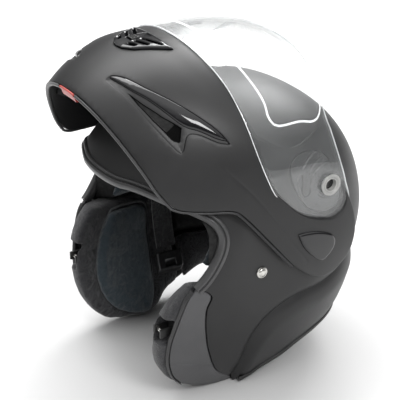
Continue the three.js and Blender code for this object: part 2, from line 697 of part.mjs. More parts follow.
place(helmet, 'outer_shell', outerShell(), 'matteBlack');
place(helmet, 'foam_liner', foamLiner(), 'foam');
place(helmet, 'crown_liner', crownLiner(), 'cloth');
place(helmet, 'brow_pad', browPad(), 'mesh');
place(helmet, 'neck_roll', neckRoll(), 'mesh');
place(helmet, 'port_trim', portTrim(), 'rubber');
place(helmet, 'rim_trim', rimTrim(), 'rubber');
placePair(helmet, 'temple_pad', templePad, 'cloth');
placePair(helmet, 'cheek_pad', cheekPad, 'mesh');
placePair(helmet, 'cheek_face', cheekFace, 'cloth');
placePair(helmet, 'jaw_plate', jawPlate, 'jawGrey');
placePair(helmet, 'jaw_edging', jawEdging, 'edging');
placePair(helmet, 'striker_bracket', strikerBracket, 'plastic');
placePair(helmet, 'striker_pin', strikerPin, 'steel');
placePair(helmet, 'hinge_base', hingeBase, 'plastic');
placePair(helmet, 'hinge_pin', hingePin, 'steel');
placePair(helmet, 'strap_rivet', strapRivet, 'steel');
placePair(helmet, 'chin_strap', chinStrap, 'webbing');
place(helmet, 'buckle_socket', buckle(1, SOCKET_LENGTH), 'plastic');
place(helmet, 'buckle_tongue', buckle(-1, TONGUE_LENGTH), 'steel');

place(chinBarParts, 'chin_bar', chinBar(), 'matteBlack');
place(chinBarParts, 'chin_pad', chinPad(), 'foam');
placePair(chinBarParts, 'chin_trim', chinTrim, 'edging');
place(chinBarParts, 'port_seal', portSeal(), 'rubber');
place(chinBarParts, 'chin_vent', chinVent(), 'glossBlack');
place(chinBarParts, 'vent_slider', ventSlider(), 'glossBlack');
place(chinBarParts, 'latch_lever', latchLever(), 'red');
placePair(chinBarParts, 'side_vent_blade', ventBlade, 'glossBlack');
placePair(chinBarParts, 'hinge_cap', hingeCap, 'glossBlack');
placePair(chinBarParts, 'mechanism_plate', mechanismPlate, 'mechanism');
placePair(chinBarParts, 'quick_lever', quickLever, 'plastic');
placePair(chinBarParts, 'visor_hub', visorHub, 'mechanism');
placePair(chinBarParts, 'latch_fork', latchFork, 'steel');

place(visorParts, 'visor', visor(), 'clear');

export default helmet;
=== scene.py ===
"""Flip-up motorcycle helmet with its chin bar raised, on a pale floor.

Shapes are worked out in millimetres on one smooth form and handed to Blender in metres.
Side-view outlines are (forward, height) and front-view ones (across, height), all with the
chin bar closed. Every piece that doesn't ride on the shell is then turned about the hinge to
the raised rest pose. A layer is a pair: how far a surface stands out from the form, and the
|x| where its sides go flat.
"""
import json
import math

import bmesh
import bpy
import numpy as np
from mathutils import Matrix, Vector
from mathutils.geometry import delaunay_2d_cdt


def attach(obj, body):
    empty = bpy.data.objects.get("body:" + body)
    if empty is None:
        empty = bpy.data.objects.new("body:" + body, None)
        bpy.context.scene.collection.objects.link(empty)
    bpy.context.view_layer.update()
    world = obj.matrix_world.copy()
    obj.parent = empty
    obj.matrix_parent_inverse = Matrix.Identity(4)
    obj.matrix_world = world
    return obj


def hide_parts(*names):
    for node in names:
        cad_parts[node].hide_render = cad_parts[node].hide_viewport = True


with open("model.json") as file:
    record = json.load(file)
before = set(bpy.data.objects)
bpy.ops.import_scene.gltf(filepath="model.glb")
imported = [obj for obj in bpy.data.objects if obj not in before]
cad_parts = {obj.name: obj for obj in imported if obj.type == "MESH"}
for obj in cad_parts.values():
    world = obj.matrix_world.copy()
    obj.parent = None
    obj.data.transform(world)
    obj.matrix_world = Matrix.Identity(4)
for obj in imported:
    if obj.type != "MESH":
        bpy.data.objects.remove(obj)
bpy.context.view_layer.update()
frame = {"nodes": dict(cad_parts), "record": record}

MM = 0.001

# ---- Driving dimensions, millimetres -------------------------------------------------------------
JOINTS = {joint["name"]: joint for joint in frame["record"]["behaviour"]["joints"]}
HINGE_Y, HINGE_Z = (1000 * value for value in JOINTS["chin_bar_lift"]["pos_m"][1:])
RAISED = math.radians(JOINTS["chin_bar_lift"]["range_deg"][1])
HINGE_FORWARD = -30.0
SHIFT = HINGE_Y + HINGE_FORWARD
CENTRE = np.array([0.0, SHIFT + 5.0, 154.0])
HALF_WIDTH = 122.0
ROUNDNESS = 2.25
RIM_TAPER = 0.06
TYPICAL_RADIUS = 150.0
OUTLINE_ANGLES = np.array([0, 25, 60, 90, 120, 150, 180, 210, 235, 270, 305, 322, 338, 348], float)
OUTLINE_RADII = np.array([155, 136, 122, 117, 120, 127, 131, 136, 158, 190, 222, 214, 195, 175], float)
SIDES = ([1, 1, 1], [-1, 1, 1])


def rounded(offset):
    """A layer without flat sides."""
    return offset, 400.0


def in_shell(depth):
    """The layer this deep inside the shell's face, flat sides included."""
    return -depth, 117.0 - depth


SHELL_FACE, JAW_FACE, SHELL_BACK = in_shell(0.0), (-0.6, 117.0), in_shell(4.0)
CHIN_FACE, CHIN_BACK = rounded(7.6), (3.8, 120.6)
POCKET = (5.4, 122.6)
VISOR_FACE, VISOR_BACK = (9.2, 126.3), (7.2, 124.3)
VENT_FACE, KNOB_FACE = rounded(9.6), rounded(11.6)
FOAM_FACE, CLOTH_FACE = in_shell(25.0), in_shell(34.0)
STRAP, BUCKLE = (-38.5, 81.5), (-44.0, 75.0)
VISOR_PIVOT = (22.0, 175.0)
HUB_HOLE = 8.6

PORT_EDGE = [(150, 205), (123, 205), (116, 206), (110, 205.5), (103, 203), (95, 199.5), (87, 196),
             (78, 192), (69, 186), (63, 178), (61, 168), (64, 156), (71, 143), (79, 132), (86, 125)]
JAW_EDGE = [(86, 125), (94, 113), (101, 90), (105, 68), (104, 46), (97, 27), (86, 14)]
JAW_FOOT = [(86, 14), (66, 5), (47, 0), (29, 0)]
JAW_SPLIT = [(83, 125), (73, 116), (77, 102), (76, 80), (70, 54), (56, 25), (36, 8), (29, 0)]
REAR_RIM = [(27, 6), (18, 10), (9, 17), (-12, 25), (-30, 35), (-60, 42), (-122, 46), (-150, 47.5)]
FLARE_CREASE = [(-140, 108), (-95, 104), (-47, 97), (-19, 96), (3, 89), (20, 76), (31, 53), (34, 20),
                (36, 2)]
CHIN_LOWER = [(200, 28), (118, 34), (101, 35), (86, 38), (77, 43), (65, 63), (54, 83), (42, 90), (9, 101),
              (-30, 114), (-56, 128)]
CHIN_LOBE = [(-56, 128), (-68, 142), (-69, 156), (-60, 173), (-42, 184), (-20, 189), (12, 189)]
CHIN_TOP = [(12, 189), (38, 193), (60, 198), (76, 204)]
CHIN_PORT = [(76, 204), (70, 190), (69, 173), (72, 157), (80, 147), (89, 140), (98, 135), (107, 133),
             (200, 139)]
CHIN_CREASE = [(92, 92), (60, 104), (30, 112), (0, 119), (-34, 128)]
VISOR_LOWER = [(200, 136), (150, 135), (130, 132), (107, 127), (87, 123), (65, 121), (46, 122), (25, 129),
               (8, 139), (-4, 151)]
VISOR_END = [(-4, 151), (-12, 162), (-14, 172), (-10, 182), (-1, 189), (14, 191)]
VISOR_TOP = [(14, 191), (38, 195), (60, 200), (78, 206), (112, 230), (112, 228), (150, 231)]
VISOR_WINDOW = [(200, 157), (124, 156), (106, 150), (97, 151), (92, 158), (85, 175), (77, 187), (77, 197),
                (84, 206), (108, 222), (200, 225)]
CAP_OUTLINE = [(-1, 127), (-4, 135), (-11, 147), (-22, 158), (-31, 160), (-39, 155), (-44, 142), (-33, 134),
               (-17, 128)]
MECHANISM = [(-5, 174), (-1, 160), (10, 149), (28, 144), (48, 143), (60, 148), (63, 160), (58, 174),
             (46, 184), (24, 184), (4, 182)]
# Front views.
VENT_HALF = [(0, 121.5), (34, 121.5), (18, 93), (8, 87), (0, 86)]
VENT_OUTLINE = [*VENT_HALF, *[(-u, v) for u, v in VENT_HALF[3:0:-1]]]
VENT_SLOTS = [[(7, 92.5), (14.5, 95.5), (15.5, 99), (7, 95.8)],
              [(7, 100), (18.5, 104.6), (20, 108), (7, 103.2)],
              [(7, 107.5), (23, 114), (25, 117.6), (7, 110.8)]]
VENT_RAIL = [(-5.1, 99.4), (5.1, 99.4), (5.1, 118.8), (-5.1, 118.8)]
VENT_KNOB = [(-4.6, 100.4), (4.6, 100.4), (4.6, 107.6), (-4.6, 107.6)]
BLADE_TOP = [(29, 58), (30, 62), (39, 68), (59, 76), (76, 86), (92, 97), (103, 105), (110, 108)]
BLADE_BOTTOM = [(110, 108), (106, 99), (98, 88), (93, 81), (85, 76), (65, 68), (53, 63), (34, 58), (29, 58)]
SCOOP_BOTTOM = [(110, 108), (106, 98), (99, 88), (96, 80), (99, 70), (96, 65), (79, 60), (53, 57), (31, 55),
                (29, 58)]
SCOOP_MOUTH = [(52, 60.5), (66, 64.5), (80, 71), (91, 79), (95.5, 71), (92, 66.5), (78, 62.5), (64, 60.5)]
# The padding.
CHEEK_PAD = [(83, 126), (96, 113), (104, 99), (108, 83), (108, 64), (105, 46), (96, 29), (81, 17), (50, 11.5),
             (30, 13), (14, 25), (-3, 37), (-3, 80), (-3, 120), (40, 122), (64, 125)]
CHEEK_COVER = [(66, 117), (78, 102), (87, 82), (91, 64), (89, 47), (81, 32), (69, 23), (50, 17), (39, 19),
               (30, 34), (27, 60), (26, 88), (27, 114), (48, 118)]
CHEEK_SEAM = [(50, 118), (58, 96), (61, 70), (57, 46), (48, 20)]
TEMPLE_PAD = [(54, 165), (57, 150), (64, 134), (52, 131), (10, 131), (-30, 131), (-30, 148), (-30, 165),
              (10, 165)]
FOAM_EDGE = [(140, 202), (98, 203.5), (86, 199), (77, 195), (68, 188.5), (61, 179), (58, 168), (59, 156),
             (60, 143), (59, 129)]
CROWN_EDGE = [(61, 300), (57, 226), (50, 206), (51, 188), (52, 171)]
CROWN_SEAM = [(48, 214), (20, 226), (-30, 232), (-70, 214), (-104, 170), (-112, 100)]
BROW_FRONT = [(120, 199), (88, 199), (76, 197), (66, 191.5), (58, 184)]
BROW_BACK = [(54, 184), (53, 196), (54, 208), (58, 226), (61, 300)]
# Sections of the trims, (across, out).
PORT_SECTION = [(6, 0.3), (5.6, 1.1), (4.4, 1.8), (3.1, 1.6), (2.5, 0.5), (2.1, 0.3), (1.7, 0.9), (0.8, 1.8),
                (-0.6, 1.7), (-1.9, 0.9), (-3.2, -0.6), (-4, -2.8), (-3.6, -4.9), (-1.5, -6.2), (2, -6.5),
                (5.4, -6.2), (6, -4.4), (-0.35, -4.35), (-0.35, 0.3)]
JAW_SECTION = [(-0.35, 0.0), (-0.9, 0.35), (-1.5, 0.0), (-1.9, -0.7), (-2.6, -1.0), (-3.0, -2.2),
               (-2.7, -4.2), (-1.6, -4.9), (-0.4, -4.6)]
RIM_SECTION = [(5, 5.6), (5, 6.9), (3, 7.8), (0, 7.4), (-2.6, 5.4), (-4, 1.5), (-3.6, -3), (-2, -5.6),
               (2, -6.8), (5, -6.4), (5, -4.6), (0.4, -4.4), (0.4, 5.4)]
CHIN_SECTION = [(-0.4, 0.0), (-0.8, 0.35), (-1.3, 0.0), (-1.6, -0.7), (-2.3, -1.0), (-2.8, -1.9),
                (-2.7, -3.2), (-2.0, -4.0), (-0.4, -4.0)]
SEAL_SECTION = [(-0.4, 0.2), (-1.4, 0.4), (-2.2, 0.0), (-3.0, 0.3), (-3.5, -0.6), (-3.3, -2.0), (-1.6, -2.4),
                (-0.4, -2.2)]
LEVER_SECTION = [(-0.4, -0.6), (-1.3, -0.1), (-2.2, -0.5), (-2.6, -1.6), (-2.4, -3.6), (-3.6, -5.6),
                 (-4.4, -8.4), (-3.8, -9.8), (-2.6, -10.0), (-1.8, -8.2), (-0.7, -5.6), (-0.4, -3.0)]
# Turned pieces, (radius, x).
HUB_RING = [(5, 123), (7.6, 123), (7.6, 126.4), (10, 126.8), (10.1, 127.3), (9.4, 127.7), (7.6, 127.7),
            (7.0, 127.2), (6.4, 127.6), (5.6, 127.4), (5.2, 126.2)]
RIVET = [(0.01, 113.2), (2.6, 113.2), (2.6, 117.3), (5.2, 117.35), (5.5, 117.7), (5.2, 118.3), (4.2, 118.7),
         (3.6, 118.5), (3.2, 118.9), (1.6, 119.2), (0.01, 119.25)]


# ---- The form -----------------------------------------------------------------------------------
def outline_radius(angle):
    """Radius of the side outline at these angles in degrees: a periodic cubic through the points."""
    knots = np.concatenate([OUTLINE_ANGLES - 360, OUTLINE_ANGLES, OUTLINE_ANGLES + 360])
    values = np.tile(OUTLINE_RADII, 3)
    slopes = np.zeros_like(values)
    slopes[1:-1] = (values[2:] - values[:-2]) / (knots[2:] - knots[:-2])
    i = np.clip(np.searchsorted(knots, angle, side="right") - 1, 1, len(knots) - 3)
    span = knots[i + 1] - knots[i]
    t = (angle - knots[i]) / span
    return ((2 * t**3 - 3 * t**2 + 1) * values[i] + (t**3 - 2 * t**2 + t) * span * slopes[i]
            + (3 * t**2 - 2 * t**3) * values[i + 1] + (t**3 - t**2) * span * slopes[i + 1])


def form_value(points):
    """Below 1 inside the form, 1 on it, above 1 outside."""
    forward = CENTRE[1] - points[:, 1]
    up = points[:, 2] - CENTRE[2]
    angle = np.degrees(np.arctan2(up, forward)) % 360
    low = np.clip(-up / CENTRE[2], 0, 1.3)
    side = np.abs(points[:, 0]) / (HALF_WIDTH * (1 - RIM_TAPER * low * low))
    return side**ROUNDNESS + (np.hypot(forward, up) / outline_radius(angle))**ROUNDNESS


def form_normal(points):
    normal = np.empty_like(points)
    for axis in range(3):
        step = np.zeros(3)
        step[axis] = 0.5
        normal[:, axis] = form_value(points + step) - form_value(points - step)
    return unit(normal)


def unit(vectors):
    return vectors / np.maximum(np.linalg.norm(vectors, axis=1, keepdims=True), 1e-12)


def layer_points(directions, layer):
    """Where rays from the centre meet a layer; its flat sides blend in softly."""
    offset, flat = layer
    rays = unit(directions)
    near = np.full(len(rays), TYPICAL_RADIUS)
    for _ in range(5):
        near = near / form_value(CENTRE + rays * near[:, None])**(1 / ROUNDNESS)
    slant = np.maximum((form_normal(CENTRE + rays * near[:, None]) * rays).sum(1), 0.6)
    distance = near + offset / slant
    limit = flat / np.maximum(np.abs(rays[:, 0]), 1e-6)
    soft = 2.0
    blend = np.clip(0.5 + (limit - distance) / (2 * soft), 0, 1)
    distance = limit * (1 - blend) + distance * blend - soft * blend * (1 - blend)
    return CENTRE + rays * distance[:, None]


def layer_normals(points, layer):
    """Outward normals of a layer at these points."""
    rays = unit(points - CENTRE)
    helper = np.where(np.abs(rays[:, 2:]) < 0.9, [[0.0, 0.0, 1.0]], [[1.0, 0.0, 0.0]])
    first = unit(np.cross(rays, helper))
    step = 0.008
    a, b = (layer_points(rays + step * way, layer) - layer_points(rays - step * way, layer)
            for way in (first, np.cross(rays, first)))
    normal = unit(np.cross(a, b))
    return normal * np.sign((normal * rays).sum(1, keepdims=True))


def beyond(points, layer):
    """Which points lie outside a layer."""
    reach = np.linalg.norm(layer_points(points - CENTRE, layer) - CENTRE, axis=1)
    return np.linalg.norm(points - CENTRE, axis=1) > reach


def slid(points, axis, near, far, layer, halvings):
    """Points slid along an axis to the layer, which lies between these two coordinates."""
    found = points.copy()
    near, far = np.full(len(points), float(near)), np.full(len(points), float(far))
    for _ in range(halvings):
        found[:, axis] = (near + far) / 2
        out = beyond(found, layer)
        far = np.where(out, found[:, axis], far)
        near = np.where(out, near, found[:, axis])
    found[:, axis] = near
    return found


# ---- Curves -------------------------------------------------------------------------------------
def spline(points, per_span=10):
    """A smooth open curve through 2D points."""
    points = np.array(points, float)
    ends = np.vstack([2 * points[0] - points[1], points, 2 * points[-1] - points[-2]])
    curve = []
    for i in range(1, len(points)):
        p0, p1, p2, p3 = ends[i - 1:i + 3]
        for t in np.arange(per_span) / per_span:
            curve.append(0.5 * (2 * p1 + (p2 - p0) * t + (2 * p0 - 5 * p1 + 4 * p2 - p3) * t**2
                                + (3 * p1 - p0 - 3 * p2 + p3) * t**3))
    curve.append(points[-1])
    return np.array(curve)


def arc(centre, radius, start, end, count=30):
    """Points of an arc between two angles in degrees; a whole circle doesn't repeat its start."""
    closed = end - start == 360
    return [(centre[0] + radius * math.cos(math.radians(a)), centre[1] + radius * math.sin(math.radians(a)))
            for a in np.linspace(start, end, count, endpoint=not closed)]


def lengths_along(points):
    return np.concatenate([[0], np.cumsum(np.linalg.norm(np.diff(points, axis=0), axis=1))])


def resampled(points, spacing):
    """The same curve with even spacing, about this many millimetres."""
    points = np.array(points, float)
    length = lengths_along(points)
    wanted = np.linspace(0, length[-1], max(2, int(round(length[-1] / spacing)) + 1))
    return np.column_stack([np.interp(wanted, length, column) for column in points.T])


def tangents(line, closed=False):
    if closed:
        return unit(np.roll(line, -1, axis=0) - np.roll(line, 1, axis=0))
    return unit(np.gradient(line, axis=0))


def leftward(line, closed=False):
    """Unit vectors to the left of a 2D line."""
    along = tangents(line, closed)
    return np.column_stack([-along[:, 1], along[:, 0]])


def shifted(points, amount):
    """A curve through 2D points, moved to its right by this many millimetres."""
    curve = spline(points)
    return curve - amount * leftward(curve)


def inset(outline, amount):
    """A closed outline shrunk by this many millimetres."""
    outline = np.array(outline, float)
    turn = 1 if loop_area(outline) > 0 else -1
    return outline + turn * amount * leftward(outline, True)


def at_width(outline, x):
    """A side-view outline in space, at one x."""
    outline = np.array(outline, float)
    return np.column_stack([np.full(len(outline), x), SHIFT - outline[:, 0], outline[:, 1]])


def spot(x, forward, height):
    return x, SHIFT - forward, height


def side_to_layer(curve, layer):
    """Points of the layer, on the wearer's left, seen at these side-view points; NaN where it misses."""
    points = at_width(curve, 1e-3)
    found = slid(points, 0, 0.0, 150.0, layer, 22)
    found[beyond(points, layer)] = np.nan
    return found


def side_line(points, layer, spacing=3.0, curved=True):
    """A side-view outline laid on the layer; an end that misses the form stops on the middle plane."""
    curve = spline(points) if curved else resampled(points, 4.0)
    valid = ~np.isnan(side_to_layer(curve, layer)[:, 0])
    first, last = np.argmax(valid), len(valid) - 1 - np.argmax(valid[::-1])
    lengths = lengths_along(curve)

    def at(wanted):
        found = np.column_stack([np.interp(wanted, lengths, column) for column in curve.T])
        return side_to_layer(found, layer)

    def ending(inner, outer):
        """Where the line ends, and its points from there to the middle, crowded at an edge."""
        if not 0 <= outer < len(valid):
            return lengths[inner], np.linspace(0, 1, 60)
        inner, outer = lengths[inner], lengths[outer]
        for _ in range(24):
            middle = (inner + outer) / 2
            if np.isnan(at(np.array([middle]))[0, 0]):
                outer = middle
            else:
                inner = middle
        return inner, np.linspace(0, 1, 30)**2

    start, start_steps = ending(first, first - 1)
    end, end_steps = ending(last, last + 1)
    middle = (start + end) / 2
    left = start + (middle - start) * start_steps
    right = end - (end - middle) * end_steps
    line = at(np.concatenate([left, right[::-1][1:]]))
    line = line[~np.isnan(line[:, 0])]
    if first > 0:
        line[0, 0] = 0
    if last < len(valid) - 1:
        line[-1, 0] = 0
    return resampled(line, spacing)


def side_loop(points, layer, spacing=2.0):
    """A closed side-view outline laid on the left of the layer."""
    return side_to_layer(resampled(spline([*points, points[0]]), spacing), layer)[:-1]


def front_line(points, layer, spacing=2.0):
    """A front-view outline laid on the front of the layer."""
    curve = resampled(points, spacing)
    return slid(curve[:, [0, 0, 1]], 1, CENTRE[1] - 20, CENTRE[1] - 260, layer, 24)


def front_loop(points, layer, spacing=2.0):
    """A closed front-view outline laid on the front of the layer."""
    return front_line([*points, points[0]], layer, spacing)[:-1]


def joined(*lines):
    """One line from several that meet end to end."""
    whole = [lines[0]]
    for line in lines[1:]:
        skip = 1 if np.linalg.norm(line[0] - whole[-1][-1]) < 1.0 else 0
        whole.append(line[skip:])
    return np.vstack(whole)


def both_sides(line):
    """Closes a left-hand line, whose ends lie on the middle plane, with its mirror image."""
    return np.vstack([line, line[::-1][1:-1] * SIDES[1]])


def over_middle(line):
    """Carries a left-hand line, which starts on the middle plane, on to the right."""
    return np.vstack([line[::-1], line[1:] * SIDES[1]])


# ---- Charts: flat maps of directions from the centre -------------------------------------------------
class Chart:
    """Stereographic map with this direction at its middle."""

    def __init__(self, pole):
        self.pole = np.array(pole, float)
        self.pole /= np.linalg.norm(self.pole)
        helper = np.array([1.0, 0, 0]) if abs(self.pole[0]) < 0.9 else np.array([0, 0, 1.0])
        self.across = helper - self.pole * (helper @ self.pole)
        self.across /= np.linalg.norm(self.across)
        self.up = np.cross(self.pole, self.across)

    def flat(self, points):
        d = unit(points - CENTRE)
        depth = 1 + d @ self.pole
        return np.column_stack([d @ self.across / depth, d @ self.up / depth])

    def directions(self, q):
        s = (q**2).sum(1)[:, None]
        return (2 * q[:, :1] * self.across + 2 * q[:, 1:] * self.up + (1 - s) * self.pole) / (1 + s)

    def scale(self, q, radius):
        """Millimetres per chart unit."""
        return 2 * radius / (1 + (q**2).sum(1))


FRONT = Chart((0, -1, -0.15))
TOP = Chart((0, 0.35, 1))
LEFT = Chart((1, 0, 0))
LEFT_FRONT = Chart((1, -0.8, -0.5))
BROW = Chart((0, -1, 1))
NECK = Chart((0, 1, -0.6))
THROAT = Chart((1, -0.2, -1))


def inside(points, loop):
    """Which 2D points lie inside a closed loop."""
    x, y = points[:, 0], points[:, 1]
    result = np.zeros(len(points), bool)
    for (x0, y0), (x1, y1) in zip(loop, np.roll(loop, -1, axis=0)):
        if y0 == y1:
            continue
        crosses = (y0 > y) != (y1 > y)
        result ^= crosses & (x < (x1 - x0) * (y - y0) / (y1 - y0) + x0)
    return result


def line_distance(points, line, closed):
    """Distance from 2D points to a line, and the side of it: positive to the line's left."""
    starts = line if closed else line[:-1]
    ends = np.roll(line, -1, axis=0) if closed else line[1:]
    best = np.full(len(points), np.inf)
    sign = np.ones(len(points))
    for a, b in zip(starts, ends):
        along = b - a
        t = np.clip(((points - a) @ along) / max(along @ along, 1e-18), 0, 1)
        gap = points - a - t[:, None] * along
        distance = np.hypot(gap[:, 0], gap[:, 1])
        closer = distance < best
        best = np.where(closer, distance, best)
        sign = np.where(closer, np.sign(along[0] * gap[:, 1] - along[1] * gap[:, 0]), sign)
    return best, sign


def loop_area(loop):
    x, y = loop[:, 0], loop[:, 1]
    return 0.5 * (x * np.roll(y, -1) - np.roll(x, -1) * y).sum()


def counterclockwise(loop):
    return loop if loop_area(loop) > 0 else loop[::-1]


class Feature:
    """A step pressed into or raised from a plate along a line.

    shape gives the offset, and limit the flat limit of |x|, from the distance in mm: positive
    inside a closed line, or on the side of an open line where the toward point lies. rings are
    the distances at which the mesh gets its own row of points.
    """

    def __init__(self, line, shape, rings, toward=None, limit=None):
        self.line, self.shape, self.rings, self.toward, self.limit = line, shape, rings, toward, limit
        self.closed = toward is None

    def on_chart(self, chart):
        line = chart.flat(self.line)
        if self.closed:
            return counterclockwise(line)
        _, sign = line_distance(chart.flat(np.array([self.toward], float)), line, False)
        return line if sign[0] > 0 else line[::-1]

    def distance(self, points, line):
        gap, sign = line_distance(points, line, self.closed)
        return gap * (np.where(inside(points, line), 1.0, -1.0) if self.closed else sign)


def smoothstep(t):
    t = np.clip(t, 0, 1)
    return t * t * (3 - 2 * t)


def recess(line, depth, wall=0.8, lip=0.5, **where):
    """A pressed-in or, with a negative depth, raised field with steep walls."""
    def shape(d):
        return -depth * smoothstep((d + lip / 2) / (wall + lip))
    return Feature(line, shape, [-lip, 0.0, wall / 2, wall + lip / 2], **where)


def groove(line, depth, half_width, power=1.3, rings=(-1, -1 / 3, 0, 1 / 3, 1)):
    """A narrow line pressed into the surface, the same on both sides; rings are in half widths."""
    def shape(d):
        return -depth * np.clip(1 - np.abs(d) / half_width, 0, 1)**power
    return Feature(line, shape, [half_width * ring for ring in rings], toward=line[0] + [3, 5, 7])


# ---- Plates -------------------------------------------------------------------------------------
SPHERE_POINTS = 15000
EDGE_ROWS = (0.0, 0.12, 0.45, 1.0)


def direction_cloud(chart, count):
    """Evenly spread directions on the chart, leaving out what lies behind it."""
    index = np.arange(count) + 0.5
    height = 1 - 2 * index / count
    around = np.sqrt(1 - height**2)
    turn = math.pi * (3 - math.sqrt(5)) * index
    sphere = np.column_stack([around * np.cos(turn), around * np.sin(turn), height])
    return chart.flat(CENTRE + sphere[sphere @ chart.pole > -0.93])


def plate(name, chart, loop, back, face, holes=(), features=(), edge=0.8, density=1.0, swell=None,
          upright=False):
    """A closed sheet between two layers, trimmed by a loop.

    Only the face has the softened edge, the features and the swell, which raise it away from
    the back. An upright left-hand plate is cut square to the middle plane instead of towards
    the centre.
    """
    outline = counterclockwise(chart.flat(loop))
    openings = [counterclockwise(chart.flat(hole))[::-1] for hole in holes]
    boundaries = [outline, *openings]

    def millimetres(q):
        surface = layer_points(chart.directions(q), face)
        return chart.scale(q, np.linalg.norm(surface - CENTRE, axis=1))

    def moved(line, distance, closed=True):
        """Shifts a chart line to its left by a distance in mm."""
        return line + leftward(line, closed) * (distance / millimetres(line))[:, None]

    def is_inside(q):
        kept = inside(q, outline)
        for opening in openings:
            kept &= ~inside(q, opening)
        return kept

    def boundary_gap(q):
        gaps = [line_distance(q, line, True)[0] for line in boundaries]
        return np.min(gaps, axis=0) * millimetres(q)

    rows = [(moved(line, step * edge), True, step == 0) for line in boundaries for step in EDGE_ROWS]
    drawn = [(feature, feature.on_chart(chart)) for feature in features]
    for feature, line in drawn:
        rows += [(moved(line, step, feature.closed), feature.closed, False) for step in feature.rings]

    count = int(SPHERE_POINTS * density)
    spacing = TYPICAL_RADIUS * math.sqrt(4 * math.pi / count)
    cloud = direction_cloud(chart, count)
    cloud = cloud[is_inside(cloud)]
    cloud = cloud[boundary_gap(cloud) > edge + 0.3 * spacing]
    scale = millimetres(cloud)
    crowded = np.zeros(len(cloud), bool)
    for feature, line in drawn:
        away = feature.distance(cloud, line) * scale
        low, high = min(feature.rings), max(feature.rings)
        crowded |= (away > low - 0.35 * spacing) & (away < high + 0.35 * spacing)
    cloud = cloud[~crowded]

    coords, edges = [], []
    for line, closed, is_edge in rows:
        good = np.ones(len(line), bool) if is_edge else is_inside(line) & (boundary_gap(line) > 0.05 * edge)
        number = np.full(len(line), -1)
        number[good] = len(coords) + np.arange(good.sum())
        coords.extend(line[good])
        following = np.roll(number, -1) if closed else np.append(number[1:], -1)
        edges.extend((a, b) for a, b in zip(number, following) if a >= 0 and b >= 0)
    coords.extend(cloud)
    verts, _, faces, *_ = delaunay_2d_cdt([Vector(p) for p in coords], edges, [], 0, 1e-7)
    q = np.array([tuple(v) for v in verts])
    tris = np.array(faces)
    tris = tris[is_inside(q[tris].mean(1))]
    used = np.unique(tris)
    renumber = np.full(len(q), -1)
    renumber[used] = np.arange(len(used))
    q, tris = q[used], renumber[tris]

    scale = millimetres(q)
    raise_by = np.zeros(len(q))
    limit = np.full(len(q), float(face[1]))
    for feature, line in drawn:
        away = feature.distance(q, line) * scale
        raise_by += feature.shape(away)
        if feature.limit:
            limit = np.minimum(limit, feature.limit(away))
    gap = boundary_gap(q)
    close = np.clip(1 - gap / edge, 0, 0.999)
    raise_by -= edge * (1 - np.sqrt(1 - close**2))
    if swell:
        raise_by += swell(gap)
    raise_by *= 1.0 if face[0] > back[0] else -1.0
    directions = chart.directions(q)
    top = layer_points(directions, (face[0] + raise_by, limit + raise_by))
    if upright:
        bottom = side_to_layer(np.column_stack([SHIFT - top[:, 1], top[:, 2]]), back)
    else:
        bottom = layer_points(directions, back)

    pairs = {(a, b): None for tri in tris for a, b in zip(tri, np.roll(tri, -1))}
    rim = [(a, b) for a, b in pairs if (b, a) not in pairs]
    size = len(top)
    faces = [tuple(t) for t in tris] + [tuple(t[::-1] + size) for t in tris]
    faces += [(b, a, a + size, b + size) for a, b in rim]
    return make(name, np.vstack([top, bottom]), faces)


def make(name, points, faces, sharp=40):
    """A Blender object from points in millimetres, smooth except along sharp edges."""
    mesh = bpy.data.meshes.new(name)
    mesh.from_pydata((points * MM).tolist(), [], [tuple(int(i) for i in f) for f in faces])
    mesh.validate()
    work = bmesh.new()
    work.from_mesh(mesh)
    bmesh.ops.recalc_face_normals(work, faces=work.faces)
    work.to_mesh(mesh)
    work.free()
    mesh.shade_smooth()
    mesh.set_sharp_from_angle(angle=math.radians(sharp))
    return linked(name, mesh)


def linked(name, data):
    piece = bpy.data.objects.new(name, data)
    bpy.context.collection.objects.link(piece)
    return piece


# ---- Strips, turned pieces and slabs ----------------------------------------------------------------
def swept(name, rings, closed=False, sharp=50):
    """A closed tube through matching rings of points; an open one is capped."""
    count, size = rings.shape[:2]
    faces = []
    for i in range(count if closed else count - 1):
        j = (i + 1) % count
        for k in range(size):
            following = (k + 1) % size
            faces.append((i * size + k, j * size + k, j * size + following, i * size + following))
    if not closed:
        faces.append(tuple(range(size))[::-1])
        faces.append(tuple((count - 1) * size + k for k in range(size)))
    return make(name, rings.reshape(-1, 3), faces, sharp)


def bead(name, line, profile, inner, layer, closed=False, sharp=50):
    """Sweeps an (across, out) profile along a line on a layer; across is positive towards inner."""
    normal = layer_normals(line, layer)
    across = unit(np.cross(normal, tangents(line, closed)))
    if ((np.array(inner) - line) * across).sum() < 0:
        across = -across
    profile = np.array(profile, float)
    rings = line[:, None] + profile[None, :, :1] * across[:, None] + profile[None, :, 1:] * normal[:, None]
    return swept(name, rings, closed, sharp)


def turned(name, place, profile, sides=40, ring=False):
    """A piece turned round an axis along x: the (radius, x) profile is a ring or ends on the axis."""
    rings = [at_width(arc(place, radius, 0, 360, sides), x) for radius, x in profile]
    return swept(name, np.array(rings), ring, 35)


def slab(name, outline, low, high, soften):
    """A side-view outline between two values of x, with its outer edge rounded."""
    levels = [(0.0, low), (0.0, high - soften), (0.15 * soften, high - 0.45 * soften),
              (0.5 * soften, high - 0.12 * soften), (soften, high)]
    return swept(name, np.array([at_width(inset(outline, shrink), x) for shrink, x in levels]), sharp=35)


def capsule(start, end, start_radius, end_radius):
    """The outline of a lever: two round ends joined by straight flanks."""
    along = math.degrees(math.atan2(end[1] - start[1], end[0] - start[0]))
    return [*arc(start, start_radius, along + 90, along + 270, 14),
            *arc(end, end_radius, along - 90, along + 90, 14)]


